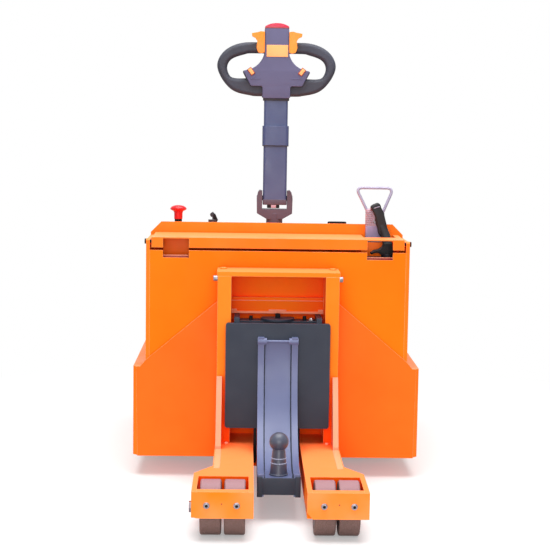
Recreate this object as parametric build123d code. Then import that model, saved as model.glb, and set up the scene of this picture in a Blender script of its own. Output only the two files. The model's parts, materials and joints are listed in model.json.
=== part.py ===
from build123d import *
import math
import os

# Pedestrian electric tow tug: low front legs on twin load wheels, a lifting mast with a tow ball,
# a battery box under a hinged lid, and a steered drive unit turned by the tiller.
# Millimetres, +Z up, +Y towards the operator, origin under the middle of the whole machine.

os.makedirs("parts", exist_ok=True)

# Whole machine
leg_reach = 610.0
body_length = 790.0
front_y = (leg_reach - body_length) / 2
body_half_width = 358.0
body_bottom = 57.0

# Clearances
panel_gap = 5.0
seat_gap = 0.3
running_fit = 0.05

# Load wheels
load_wheel_r = 65.0
load_wheel_width = 50.0
load_wheel_gap = 7.0
load_wheel_reach = 535.0
load_hub_r = 44.0
load_axle_r = 10.0
load_axle_head_r = 14.0
load_axle_head = 8.0
wheel_side_gap = 7.0
tyre_edge_r = 5.0

# Front legs
leg_inner = 62.0
leg_outer = 163.0
leg_bottom = 58.0
leg_top = 121.0
leg_wall = 8.0
leg_end_reach = 466.0
flare_start = 365.0
flare_end = 436.0
fork_bar = 12.0
guard_thickness = 6.0
guard_lip = 19.0
guard_corner = 13.0
guard_rise_right = 16.0
guard_rise_left = 4.0

# Mast
post_inner = 125.0
post_outer = 161.0
post_web = 10.0
post_front_flange = 12.0
post_rear_flange = 16.0
mast_depth = 110.0
beam_bottom = 567.0
beam_thickness = 12.0
beam_overhang = 2.0
crossmember_bottom = 462.0
crossmember_height = 38.0
crossmember_depth = 12.0
gusset_thickness = 14.0
gusset_height = 179.0
gusset_reach = 80.0
gusset_blunt = 8.0

# Lift carriage
carriage_width = 276.0
carriage_bottom = 164.0
carriage_height = 281.0
carriage_thickness = 12.0
carriage_corner_r = 7.0
carriage_gap = 6.0
cheek_inner = 102.0
cheek_thickness = 14.0
cheek_bottom = 185.0
cheek_top = 458.0
cheek_back_gap = 30.0
guide_roller_width = 22.0
guide_stub_r = 12.0
guide_roller_heights = (215.0, 385.0)
crosshead_bottom = 425.0
crosshead_height = 20.0
crosshead_depth = 46.0
lug_r = 45.0
lug_thickness = 6.0
nut_r = 14.0
nut_height = 11.0

# Lift cylinder
rod_r = 15.0
rod_bottom = 145.0
stud_r = 8.0
barrel_r = 27.0
barrel_top = 330.0
barrel_floor = 14.0

# Hitch arm and tow ball
arm_half_width = 52.5
arm_plate = 16.0
arm_top = 410.0
arm_top_depth = 22.0
arm_nose_reach = 307.0
arm_lip_z = 118.0
arm_curve_r = 240.0
arm_heel_reach = 72.0
arm_bottom = 63.0
platform_top = 106.0
platform_thickness = 12.0
platform_reach = 90.0
nose_bottom = 68.0
web_recess = 9.0
web_thickness = 10.0
arm_bar_r = 3.5
arm_bar_z = 400.0
arm_boss_r = 9.0
arm_boss_inner = 29.5
arm_boss_overhang = 1.0
arm_boss_set = 14.0
ball_r = 23.8
ball_centre_z = 189.0
ball_set_back = 47.0
ball_neck_r = 15.0
ball_root_r = 22.0
ball_neck_top = 175.0
ball_base_r = 23.0
ball_base_height = 4.0
ball_groove = 1.5
ball_groove_height = 3.0
ball_groove_bottoms = (134.0, 146.0)

# Battery box, lid and battery
side_wall = 10.0
side_top = 651.0
box_depth = 187.0
bulkhead_thickness = 6.0
floor_thickness = 6.0
front_sheet = 4.0
lid_top = 659.0
lid_sheet = 3.0
lid_flange = 28.0
lid_front_gap = 7.0
hinge_set_back = 10.0
hinge_drop = 12.0
hinge_pin_r = 4.0
hinge_ear_r = 8.0
hinge_head_r = 7.0
hinge_head = 4.0
hinge_boss_r = 8.0
hinge_boss = 14.0
notch_inner = 242.0
notch_outer = 312.0
notch_bottom = 604.0
cutout_left = 238.0
cutout_right = 328.0
cutout_front = 82.0
battery_half_width = 325.0
battery_depth = 146.0
battery_front_gap = 16.0
battery_top = 600.0
cell_rows = 2
cell_columns = 6
cell_lid_height = 10.0
cell_lid_gap = 8.0

# Wing plates and side fenders
wing_thickness = 8.0
wing_inner = 163.0
wing_shoulder_z = 487.0
wing_knee_x = 357.0
wing_knee_z = 324.0
wing_ledge_x = 372.0
wing_ledge_z = 306.0
wing_outer_top = 383.0
wing_outer_bottom = 379.0
fender_width = 34.0
fender_length = 470.0
fender_top = 304.0
fender_chamfer = 12.0

# Hood and rear cover
hood_front_gap = 181.0
hood_edge_z = 689.0
hood_chamfer = 30.0
hood_slope = 4.5
hood_sheet = 3.0
hood_bottom = 560.0
rear_corner_r = 150.0
cover_sheet = 4.0
cover_bottom = 90.0
louvre_count = 5
louvre_width = 160.0
louvre_height = 8.0
louvre_pitch = 24.0
louvre_bottom = 360.0

# Drive frame
cheek_plate_inner = 180.0
cheek_plate = 10.0
drive_frame_top = 322.0
drive_frame_rear = 780.0
drive_frame_kick_y = 500.0
drive_frame_kick_rise = 83.0
drive_frame_kick_run = 60.0
bridge_thickness = 12.0
bridge_front = 470.0
bearing_r = 120.0
bearing_height = 16.0

# Steered drive unit
drive_reach = 600.0
drive_wheel_r = 115.0
drive_wheel_width = 75.0
drive_hub_r = 80.0
drive_axle_r = 15.0
drive_side_gap = 6.0
gear_side = 31.0
idle_side = 19.0
fork_cheek_half = 50.0
turntable_r = 90.0
turntable_bottom = 250.0
turntable_flange_r = 115.0
turntable_flange = 12.0
motor_r = 75.0
motor_height = 178.0
motor_cap_r = 60.0
motor_cap = 14.0

# Steering column and tiller
column_r = 25.5
column_hole_gap = 5.5
yoke_bottom = 673.0
yoke_shoulder = 690.0
yoke_floor = 703.0
yoke_top = 762.0
yoke_half_width = 55.0
yoke_ear = 16.0
yoke_half_depth = 24.0
tiller_pivot_z = 737.0
tiller_pin_r = 8.0
tiller_pin_end = 1.0
tiller_half_width = 37.0
tiller_half_depth = 20.0
tiller_root = 718.0
tiller_tab_half = 9.5
tiller_tab_drop = 12.0
tiller_edge_r = 7.0
sleeve_bottom = 902.0
sleeve_top = 962.0
sleeve_wall = 4.0
head_bottom = 1047.0
stem_half_width = 43.0
wing_foot_z = 1084.0
wing_foot_half = 80.0
wing_tip_z = 1131.0
wing_tip_half = 102.0
neck_half = 37.5
neck_z = 1181.0
shoulder_sag = 9.0
head_top = 1264.0
head_half_depth = 30.0
head_edge_r = 9.0
button_height = 13.0
button_half_width = 36.0
button_crown_r = 8.0
button_half_depth = 21.0
grip_half_depth = 15.5
grip_edge_r = 12.0
throttle_depth = 17.0
throttle_set = 17.0

# Controls on the hood
stop_x = -288.0
stop_y = 275.0
stop_cap_r = 24.0
stop_cap = 14.0
stop_stem_r = 11.0
stop_height = 47.0
stop_collar_r = 18.0
stop_collar = 10.0
key_x = -185.0
key_barrel_r = 13.0
key_barrel = 8.0
key_blade_half = 9.0
key_blade_half_thickness = 1.5
key_blade = 22.0
gauge_x = 176.0
gauge_r = 25.0
gauge_height = 6.0

# Battery connector and its cable
plug_left = 250.0
plug_right = 296.0
plug_depth = 38.0
plug_bottom = 640.0
plug_top = 733.0
boot_left = 268.0
boot_right = 304.0
boot_front = 113.0
boot_back = 160.0
boot_bottom = 724.0
boot_top = 752.0
handle_wire_r = 4.0
handle_set_back = 165.0
handle_bends = (8.0, 17.0, 17.0, 8.0)
cable_r = 13.0
gland_r = 18.0
gland_height = 12.0

# Heights and stations worked out from the sizes above
load_axle_z = load_wheel_r
load_wheel_y = front_y - load_wheel_reach
window_inner = leg_inner + fork_bar
window_width = 2 * load_wheel_width + load_wheel_gap + 2 * wheel_side_gap
window_outer = window_inner + window_width
leg_flare = window_outer + fork_bar
leg_front_y = front_y - leg_reach
mast_front_y = front_y - mast_depth
channel_front_y = mast_front_y + post_front_flange
channel_rear_y = front_y - post_rear_flange
lift_y = (channel_front_y + channel_rear_y) / 2
guide_roller_r = (channel_rear_y - channel_front_y) / 2 - seat_gap
plate_rear_y = mast_front_y - carriage_gap
plate_front_y = plate_rear_y - carriage_thickness
carriage_top = carriage_bottom + carriage_height
ball_y = plate_front_y - arm_nose_reach + ball_set_back
box_inner = body_half_width - side_wall
lid_half_width = box_inner - panel_gap
lid_rear_y = front_y + hood_front_gap - panel_gap - 1.0
hinge_y = front_y + hinge_set_back
hinge_z = lid_top - hinge_drop
hood_front_y = front_y + hood_front_gap
body_rear_y = front_y + body_length
box_rear_y = front_y + box_depth
bulkhead_y = box_rear_y - bulkhead_thickness
drive_y = front_y + drive_reach
drive_axle_z = drive_wheel_r
bridge_top = drive_frame_top + bridge_thickness
turntable_z = bridge_top + bearing_height + seat_gap
motor_bottom = turntable_z + turntable_flange
motor_top = motor_bottom + motor_height


def slab(x0, x1, y0, y1, z0, z1):
    """A block between two corners."""
    block = Box(x1 - x0, y1 - y0, z1 - z0)
    return Pos((x0 + x1) / 2, (y0 + y1) / 2, (z0 + z1) / 2) * block


def rod_z(radius, x, y, z0, z1):
    """An upright round bar."""
    return Pos(x, y, (z0 + z1) / 2) * Cylinder(radius, z1 - z0)


def rod_x(radius, x0, x1, y, z):
    """A round bar across the machine."""
    return Pos((x0 + x1) / 2, y, z) * Rot(0, 90, 0) * Cylinder(radius, x1 - x0)


def hex_x(radius, x0, x1, y, z):
    """A hexagon head across the machine."""
    head = Plane.YZ.offset(x0) * Pos(y, z) * RegularPolygon(radius, 6)
    return extrude(head, amount=x1 - x0)


def across(points, x0, x1):
    """A side-view outline (Y, Z) given a width across the machine."""
    outline = Plane.YZ.offset(x0) * Polygon(*points, align=None)
    return extrude(outline, amount=x1 - x0, dir=(1, 0, 0))


def facing(points, y0, y1):
    """A front-view outline (X, Z) given a depth along the machine."""
    outline = Plane.XZ.offset(-y0) * Polygon(*points, align=None)
    return extrude(outline, amount=y1 - y0, dir=(0, 1, 0))


def upright(points, z0, z1):
    """A plan outline (X, Y) given a height."""
    outline = Plane.XY.offset(z0) * Polygon(*points, align=None)
    return extrude(outline, amount=z1 - z0, dir=(0, 0, 1))


def other_side(shape):
    """The same piece on the other side of the machine."""
    return mirror(shape, about=Plane.YZ)


def pair(shape):
    """A piece and its mirror image, as two solids that don't touch."""
    return Compound(children=[*shape.solids(), *other_side(shape).solids()])


def group(*shapes):
    """Several solids in one node."""
    return Compound(children=[solid for shape in shapes for solid in shape.solids()])


def save(node, shape):
    """Write one sub-part."""
    export_step(shape, f"parts/{node}.step")


def hood_height(y):
    """Height of the hood's sloping top at a station along the machine."""
    return hood_edge_z - (y - hood_front_y) * math.tan(math.radians(hood_slope))


def on_hood(x, y):
    """A plane lying on the hood's sloping top."""
    slope = math.radians(hood_slope)
    return Plane(origin=(x, y, hood_height(y)), z_dir=(0, math.sin(slope), math.cos(slope)))


def leg():
    """Right leg: an inverted channel that flares into a fork for the load wheels."""
    end_y = front_y - leg_end_reach
    outline = [
        (leg_inner, front_y),
        (leg_inner, end_y),
        (leg_flare, end_y),
        (leg_flare, front_y - flare_end),
        (leg_outer, front_y - flare_start),
        (leg_outer, front_y),
    ]
    hollow = [
        (leg_inner + leg_wall, front_y - leg_wall),
        (leg_inner + leg_wall, end_y + leg_wall),
        (leg_flare - leg_wall, end_y + leg_wall),
        (leg_flare - leg_wall, front_y - flare_end + leg_wall / 2),
        (leg_outer - leg_wall, front_y - flare_start + leg_wall / 2),
        (leg_outer - leg_wall, front_y - leg_wall),
    ]
    beam = upright(outline, leg_bottom, leg_top) - upright(hollow, leg_bottom, leg_top - leg_wall)
    bars_front = leg_front_y + guard_thickness
    inner_bar = slab(leg_inner, window_inner, bars_front, end_y, leg_bottom, leg_top)
    outer_bar = slab(window_outer, leg_flare, bars_front, end_y, leg_bottom, leg_top)
    bore = rod_x(load_axle_r + running_fit, leg_inner - 1, leg_flare + 1, load_wheel_y, load_axle_z)
    return beam + (inner_bar - bore) + (outer_bar - bore)


def wheel_guard(inner_rise, outer_rise):
    """Bolted plate that closes the front of the right fork, with one cut corner and a lip over the window."""
    plate = facing(
        [
            (leg_inner, leg_top),
            (leg_inner, leg_bottom + inner_rise),
            (leg_inner + guard_corner, leg_bottom),
            (leg_flare - guard_corner, leg_bottom),
            (leg_flare, leg_bottom + outer_rise),
            (leg_flare, leg_top),
        ],
        leg_front_y,
        leg_front_y + guard_thickness,
    )
    lip_y = leg_front_y + guard_thickness
    lip = slab(window_inner, window_outer, lip_y, lip_y + guard_lip, leg_top - leg_wall, leg_top)
    return plate + lip


def load_axle(head):
    """Fixed axle through the right fork, flush inside, with a hexagon head of some height outside."""
    axle = rod_x(load_axle_r, leg_inner, leg_flare, load_wheel_y, load_axle_z)
    if head > 0:
        axle += hex_x(load_axle_head_r, leg_flare, leg_flare + head, load_wheel_y, load_axle_z)
    return axle


def load_wheel_starts():
    """Inner face of each of the two wheels in the right fork."""
    first = window_inner + wheel_side_gap
    return [first, first + load_wheel_width + load_wheel_gap]


def load_tyre(x0):
    """One moulded tyre with rounded shoulders."""
    tyre = rod_x(load_wheel_r, x0, x0 + load_wheel_width, load_wheel_y, load_axle_z)
    tyre = fillet(tyre.edges().filter_by(GeomType.CIRCLE), tyre_edge_r)
    return tyre - rod_x(load_hub_r, x0 - 1, x0 + load_wheel_width + 1, load_wheel_y, load_axle_z)


def load_hubs():
    """Both hubs of the right fork, joined by the spacer between them."""
    first, second = load_wheel_starts()
    spacer_r = load_axle_r + 8
    hubs = rod_x(spacer_r, first, second + load_wheel_width, load_wheel_y, load_axle_z)
    for start in (first, second):
        hubs += rod_x(load_hub_r, start, start + load_wheel_width, load_wheel_y, load_axle_z)
    bore = rod_x(load_axle_r + running_fit, first - 1, second + load_wheel_width + 1, load_wheel_y, load_axle_z)
    return hubs - bore


def base_crossmember():
    """Box between the legs that carries the lift cylinder, open underneath."""
    block = slab(-leg_inner, leg_inner, mast_front_y, front_y, body_bottom, leg_top)
    hollow = slab(
        -leg_inner + leg_wall,
        leg_inner - leg_wall,
        mast_front_y + leg_wall,
        front_y - leg_wall,
        body_bottom,
        leg_top - leg_wall,
    )
    return block - hollow


def mast_post():
    """Right mast channel, open towards the middle for the guide rollers."""
    web_x = post_outer - post_web
    outline = [
        (post_inner, mast_front_y),
        (post_outer, mast_front_y),
        (post_outer, front_y),
        (post_inner, front_y),
        (post_inner, channel_rear_y),
        (web_x, channel_rear_y),
        (web_x, channel_front_y),
        (post_inner, channel_front_y),
    ]
    return upright(outline, leg_top, beam_bottom)


def mast_gusset():
    """Triangular plate that ties the right post to the leg."""
    outline = [
        (mast_front_y, leg_top),
        (mast_front_y - gusset_reach, leg_top),
        (mast_front_y - gusset_reach, leg_top + gusset_blunt),
        (mast_front_y - gusset_blunt, leg_top + gusset_height),
        (mast_front_y, leg_top + gusset_height),
    ]
    return across(outline, post_outer - gusset_thickness, post_outer)


def carriage_plate():
    """Front plate of the lift carriage with rounded corners."""
    face = RectangleRounded(carriage_width, carriage_height, carriage_corner_r)
    middle = carriage_bottom + carriage_height / 2
    return extrude(Plane.XZ.offset(-plate_rear_y) * Pos(0, middle) * face, amount=carriage_thickness)


def carriage_cheek():
    """Plate behind the right edge of the carriage that holds two guide rollers."""
    back = front_y - cheek_back_gap
    outer = cheek_inner + cheek_thickness
    cheek = slab(cheek_inner, outer, plate_rear_y, back, cheek_bottom, cheek_top)
    for height in guide_roller_heights:
        cheek -= rod_x(guide_stub_r, cheek_inner - 1, outer + 1, lift_y, height)
    return cheek


def guide_rollers():
    """Two rollers that run inside the right post, each with the stub it turns on."""
    inner = post_outer - post_web - panel_gap - guide_roller_width
    rollers = []
    for height in guide_roller_heights:
        roller = rod_x(guide_roller_r, inner, inner + guide_roller_width, lift_y, height)
        rollers.append(roller + rod_x(guide_stub_r, cheek_inner, inner, lift_y, height))
    return group(*rollers)


def lift_crosshead():
    """Bar between the carriage cheeks that the rod lifts, with the half-round lug on it."""
    bar = slab(
        -cheek_inner,
        cheek_inner,
        lift_y - crosshead_depth / 2,
        lift_y + crosshead_depth / 2,
        crosshead_bottom,
        crosshead_bottom + crosshead_height,
    )
    lug_z = crosshead_bottom + crosshead_height
    disc = rod_z(lug_r, 0, lift_y, lug_z, lug_z + lug_thickness)
    half = slab(-lug_r, lug_r, lift_y - lug_r, lift_y + stud_r + nut_r, lug_z, lug_z + lug_thickness)
    hole = rod_z(stud_r + running_fit, 0, lift_y, crosshead_bottom - 1, lug_z + lug_thickness + 1)
    return bar + (disc & half) - hole


def lift_rod():
    """Piston rod, its threaded end and the nut on the lug."""
    lug_z = crosshead_bottom + crosshead_height + lug_thickness
    rod = rod_z(rod_r, 0, lift_y, rod_bottom, crosshead_bottom)
    stud = rod_z(stud_r, 0, lift_y, crosshead_bottom, lug_z + nut_height + 3)
    nut = extrude(Plane.XY.offset(lug_z) * Pos(0, lift_y) * RegularPolygon(nut_r, 6), amount=nut_height)
    return rod + stud + nut


def lift_barrel():
    """Cylinder barrel standing on the base cross-member."""
    barrel = rod_z(barrel_r, 0, lift_y, leg_top, barrel_top)
    barrel += rod_z(barrel_r + 4, 0, lift_y, barrel_top - 25, barrel_top)
    return barrel - rod_z(rod_r + running_fit, 0, lift_y, leg_top + barrel_floor, barrel_top + 1)


def arm_curve_centre():
    """Centre of the arm's hollow front edge, from its two ends and its radius."""
    top = Vector(plate_front_y - arm_top_depth, arm_top)
    foot = Vector(plate_front_y - arm_nose_reach, arm_lip_z)
    chord = foot - top
    sagitta_leg = math.sqrt(arm_curve_r**2 - (chord.length / 2) ** 2)
    outward = Vector(chord.Y, -chord.X).normalized()
    return (top + foot) * 0.5 + outward * sagitta_leg


def hitch_arm():
    """Welded arm: two side plates with a hollow front edge, a curved web, the ball platform and nose."""
    centre = arm_curve_centre()
    nose_y = plate_front_y - arm_nose_reach
    outline = [
        (plate_front_y, arm_top),
        (nose_y, arm_top),
        (nose_y, arm_bottom),
        (plate_front_y - arm_heel_reach, arm_bottom),
        (plate_front_y, carriage_bottom),
    ]
    plate = across(outline, arm_half_width - arm_plate, arm_half_width)
    scoop = Plane.YZ.offset(-arm_half_width) * Pos(centre.X, centre.Y) * Circle(arm_curve_r)
    plate -= extrude(scoop, amount=2 * arm_half_width)
    inner = arm_half_width - arm_plate
    ring = Circle(arm_curve_r + web_recess + web_thickness) - Circle(arm_curve_r + web_recess)
    web = extrude(Plane.YZ.offset(-inner) * Pos(centre.X, centre.Y) * ring, amount=2 * inner)
    floor = platform_top - platform_thickness
    web &= slab(-inner, inner, nose_y, plate_front_y, floor, arm_top - web_recess)
    platform = slab(-inner, inner, nose_y, nose_y + platform_reach, floor, platform_top)
    nose = slab(-inner, inner, nose_y, nose_y + platform_thickness, nose_bottom, platform_top)
    boss_y = plate_front_y - arm_boss_set
    bar = rod_x(arm_bar_r, -inner, inner, boss_y, arm_bar_z)
    boss = rod_x(arm_boss_r, arm_boss_inner, arm_half_width + arm_boss_overhang, boss_y, arm_bar_z)
    return plate + other_side(plate) + web + platform + nose + bar + boss + other_side(boss)


def tow_ball():
    """Turned tow ball on a tapered, grooved neck and a round base."""
    ball = Pos(0, ball_y, ball_centre_z) * Sphere(ball_r)
    height = ball_neck_top - platform_top
    neck = Pos(0, ball_y, platform_top + height / 2) * Cone(ball_root_r, ball_neck_r, height)
    base = rod_z(ball_base_r, 0, ball_y, platform_top, platform_top + ball_base_height)
    shape = ball + neck + base
    for bottom in ball_groove_bottoms:
        radius = ball_root_r + (ball_neck_r - ball_root_r) * (bottom - platform_top) / height - ball_groove
        ring = rod_z(ball_root_r + 2, 0, ball_y, bottom, bottom + ball_groove_height)
        shape -= ring - rod_z(radius, 0, ball_y, bottom, bottom + ball_groove_height)
    return shape


def notch_cutter():
    """Cuts the two hand notches through the front panel and the lid's flange."""
    cutter = slab(notch_inner, notch_outer, front_y - 1, front_y + front_sheet + 1, notch_bottom, lid_top - lid_sheet)
    return cutter + other_side(cutter)


def front_panel():
    """Sheet behind the mast, closing the front of the battery box."""
    top = lid_top - lid_flange - lid_front_gap
    sheet = slab(-box_inner, box_inner, front_y, front_y + front_sheet, body_bottom, top)
    return sheet - notch_cutter()


def side_panel():
    """Right wall of the battery box, with an ear round the lid's hinge pin."""
    wall = slab(box_inner, body_half_width, front_y, box_rear_y, body_bottom, side_top)
    ear = rod_x(hinge_ear_r, box_inner, body_half_width, hinge_y, hinge_z)
    bore = rod_x(hinge_pin_r + running_fit, box_inner - 1, body_half_width + 1, hinge_y, hinge_z)
    return wall + ear - bore


def battery_tub():
    """Floor and rear wall of the battery box."""
    floor = slab(-box_inner, box_inner, front_y + front_sheet, box_rear_y, body_bottom, body_bottom + floor_thickness)
    wall = slab(-box_inner, box_inner, bulkhead_y, box_rear_y, body_bottom, side_top)
    return floor + wall


def battery():
    """Battery trough with its rows of cell lids."""
    y0 = front_y + battery_front_gap
    y1 = y0 + battery_depth
    case_top = battery_top - cell_lid_height
    block = slab(-battery_half_width, battery_half_width, y0, y1, body_bottom + floor_thickness, case_top)
    cell_x = (2 * battery_half_width - cell_lid_gap) / cell_columns
    cell_y = (battery_depth - cell_lid_gap) / cell_rows
    for column in range(cell_columns):
        for row in range(cell_rows):
            x0 = -battery_half_width + cell_lid_gap + column * cell_x
            z_row = y0 + cell_lid_gap + row * cell_y
            block += slab(x0, x0 + cell_x - cell_lid_gap, z_row, z_row + cell_y - cell_lid_gap, case_top, battery_top)
    return block


def battery_lid():
    """Pressed lid with turned-down edges, hand notches, a cable cut-out and hinge bosses."""
    bottom = lid_top - lid_flange
    lid = slab(-lid_half_width, lid_half_width, front_y, lid_rear_y, bottom, lid_top)
    lid -= slab(
        -lid_half_width + lid_sheet,
        lid_half_width - lid_sheet,
        front_y + lid_sheet,
        lid_rear_y + 1,
        bottom - 1,
        lid_top - lid_sheet,
    )
    lid -= notch_cutter()
    lid -= slab(cutout_left, cutout_right, front_y + cutout_front, lid_rear_y + 1, bottom - 1, lid_top + 1)
    boss = rod_x(hinge_boss_r, lid_half_width - hinge_boss, lid_half_width, hinge_y, hinge_z)
    lid += boss + other_side(boss)
    bore = rod_x(hinge_pin_r + running_fit, lid_half_width - hinge_boss - 1, lid_half_width + 1, hinge_y, hinge_z)
    return lid - bore - other_side(bore)


def lid_pin():
    """Right hinge pin with its round head outside the body."""
    head_x = body_half_width + seat_gap
    pin = rod_x(hinge_pin_r, lid_half_width - hinge_boss, head_x + 1, hinge_y, hinge_z)
    return pin + rod_x(hinge_head_r, head_x, head_x + hinge_head, hinge_y, hinge_z)


def wing_plate():
    """Right front wing: a thick plate beside the mast with a sloping shoulder."""
    outline = [
        (wing_inner, body_bottom),
        (wing_inner, wing_shoulder_z),
        (wing_knee_x, wing_knee_z),
        (wing_ledge_x, wing_ledge_z),
        (wing_outer_top, wing_ledge_z),
        (wing_outer_bottom, body_bottom),
    ]
    return facing(outline, front_y - wing_thickness, front_y)


def fender():
    """Right side fender with a chamfered front corner."""
    outer = body_half_width + fender_width
    outline = [
        (body_half_width, front_y),
        (outer - fender_chamfer, front_y),
        (outer, front_y + fender_chamfer),
        (outer, front_y + fender_length),
        (body_half_width, front_y + fender_length),
    ]
    return upright(outline, body_bottom, fender_top)


def plan_block(inset, start_y, z0, z1):
    """The body's plan with its round rear corners, given a height."""
    half = body_half_width - inset
    rear = body_rear_y - inset
    block = slab(-half, half, start_y, rear, z0, z1)
    corners = block.edges().filter_by(Axis.Z).group_by(Axis.Y)[-1]
    return fillet(corners, rear_corner_r - inset)


def hood_wedge(inset, start_y):
    """A bar with chamfered upper edges that falls away towards the operator."""
    half = body_half_width - inset
    top = hood_height(start_y) - inset
    low = hood_bottom - body_length
    face = Polygon(
        (-half, low),
        (-half, top - hood_chamfer),
        (-half + hood_chamfer, top),
        (half - hood_chamfer, top),
        (half, top - hood_chamfer),
        (half, low),
        align=None,
    )
    slope = math.radians(hood_slope)
    plane = Plane(origin=(0, start_y, 0), x_dir=(1, 0, 0), z_dir=(0, -1, 0))
    return extrude(plane * face, amount=body_length, dir=(0, math.cos(slope), -math.sin(slope)))


def hood():
    """Console hood over the drive bay, with the hole for the steering column."""
    outer = plan_block(0, hood_front_y, hood_bottom, hood_edge_z) & hood_wedge(0, hood_front_y)
    inner_y = hood_front_y + hood_sheet
    inner = plan_block(hood_sheet, inner_y, hood_bottom - 1, hood_edge_z) & hood_wedge(hood_sheet, inner_y)
    shell = outer - inner
    shell -= slab(-body_half_width, body_half_width, hood_front_y - 1, box_rear_y, hood_bottom - 1, side_top)
    column_hole = rod_z(column_r + column_hole_gap, 0, drive_y, hood_bottom, hood_edge_z + 1)
    return shell - column_hole


def rear_cover():
    """Wrap-round cover below the hood with cooling louvres at the back."""
    cover = plan_block(0, box_rear_y, cover_bottom, hood_bottom)
    cover -= plan_block(cover_sheet, box_rear_y - 1, cover_bottom - 1, hood_bottom + 1)
    for n in range(louvre_count):
        z0 = louvre_bottom + n * louvre_pitch
        half = louvre_width / 2
        cover -= slab(-half, half, body_rear_y - 2 * cover_sheet, body_rear_y + 1, z0, z0 + louvre_height)
    return cover


def chassis_cheek():
    """Right frame plate from the battery box to the back, kicked up behind."""
    kick_y = front_y + drive_frame_kick_y
    rear = front_y + drive_frame_rear
    outline = [
        (box_rear_y, body_bottom),
        (kick_y, body_bottom),
        (kick_y + drive_frame_kick_run, body_bottom + drive_frame_kick_rise),
        (rear, body_bottom + drive_frame_kick_rise),
        (rear, drive_frame_top),
        (box_rear_y, drive_frame_top),
    ]
    return across(outline, cheek_plate_inner, cheek_plate_inner + cheek_plate)


def drive_bridge():
    """Plate across the frame with the steering bearing ring on it."""
    half = cheek_plate_inner + cheek_plate
    rear = front_y + drive_frame_rear
    plate = slab(-half, half, front_y + bridge_front, rear, drive_frame_top, bridge_top)
    ring = rod_z(bearing_r, 0, drive_y, bridge_top, bridge_top + bearing_height)
    return plate + ring - rod_z(turntable_r + seat_gap, 0, drive_y, drive_frame_top - 1, turntable_z + 1)


def drive_fork():
    """Turntable, gear case and idle cheek that hold the drive wheel, with its fixed axle."""
    inner = drive_wheel_width / 2 + drive_side_gap
    fork = rod_z(turntable_r, 0, drive_y, turntable_bottom, turntable_z)
    fork += rod_z(turntable_flange_r, 0, drive_y, turntable_z, motor_bottom)
    for x0, x1 in ((inner, inner + gear_side), (-inner - idle_side, -inner)):
        low = rod_x(fork_cheek_half, x0, x1, drive_y, drive_axle_z)
        low += slab(
            x0,
            x1,
            drive_y - fork_cheek_half,
            drive_y + fork_cheek_half,
            drive_axle_z,
            turntable_bottom + turntable_flange,
        )
        fork += low
    return fork + rod_x(drive_axle_r, -inner, inner, drive_y, drive_axle_z)


def drive_motor():
    """Upright traction motor on the turntable."""
    motor = rod_z(motor_r, 0, drive_y, motor_bottom, motor_top - motor_cap)
    return motor + rod_z(motor_cap_r, 0, drive_y, motor_top - motor_cap, motor_top)


def drive_hub():
    """Cast hub of the drive wheel, running on the axle."""
    half = drive_wheel_width / 2
    hub = rod_x(drive_hub_r, -half, half, drive_y, drive_axle_z)
    dish = 15.0
    for side in (-half, half - dish):
        ring = rod_x(drive_hub_r - 14, side, side + dish, drive_y, drive_axle_z)
        hub -= ring - rod_x(drive_axle_r + 18, side, side + dish, drive_y, drive_axle_z)
    return hub - rod_x(drive_axle_r + running_fit, -half - 1, half + 1, drive_y, drive_axle_z)


def drive_tyre():
    """Solid tyre of the drive wheel."""
    half = drive_wheel_width / 2
    tyre = rod_x(drive_wheel_r, -half, half, drive_y, drive_axle_z)
    tyre = fillet(tyre.edges().filter_by(GeomType.CIRCLE), 2 * tyre_edge_r)
    return tyre - rod_x(drive_hub_r, -half - 1, half + 1, drive_y, drive_axle_z)


def steer_column():
    """Column from the motor to the yoke, with the two ears and the pin of the tiller."""
    column = rod_z(column_r, 0, drive_y, motor_top, yoke_shoulder)
    yoke = facing(
        [
            (-column_r, yoke_bottom),
            (column_r, yoke_bottom),
            (yoke_half_width, yoke_shoulder),
            (yoke_half_width + 1, tiller_pivot_z),
            (yoke_half_width - 3, yoke_top - 6),
            (yoke_half_width - 8, yoke_top),
            (yoke_half_width - yoke_ear, yoke_top - 2),
            (yoke_half_width - yoke_ear, yoke_floor),
            (-yoke_half_width + yoke_ear, yoke_floor),
            (-yoke_half_width + yoke_ear, yoke_top - 2),
            (-yoke_half_width + 8, yoke_top),
            (-yoke_half_width + 3, yoke_top - 6),
            (-yoke_half_width - 1, tiller_pivot_z),
            (-yoke_half_width, yoke_shoulder),
        ],
        drive_y - yoke_half_depth,
        drive_y + yoke_half_depth,
    )
    end = yoke_half_width + tiller_pin_end
    pin = rod_x(tiller_pin_r, -end, end, drive_y, tiller_pivot_z)
    return column + yoke + pin


def tiller_arm():
    """Box-section arm from the pivot to the head, with the tab below its root."""
    arm = slab(
        -tiller_half_width,
        tiller_half_width,
        drive_y - tiller_half_depth,
        drive_y + tiller_half_depth,
        tiller_root,
        head_bottom,
    )
    arm = fillet(arm.edges().filter_by(Axis.Z), tiller_edge_r)
    tab = slab(
        -tiller_tab_half,
        tiller_tab_half,
        drive_y - tiller_pin_r,
        drive_y + tiller_pin_r,
        tiller_root - tiller_tab_drop,
        tiller_root,
    )
    bore = rod_x(tiller_pin_r + running_fit, -yoke_half_width, yoke_half_width, drive_y, tiller_pivot_z)
    return arm + tab - bore


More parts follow.
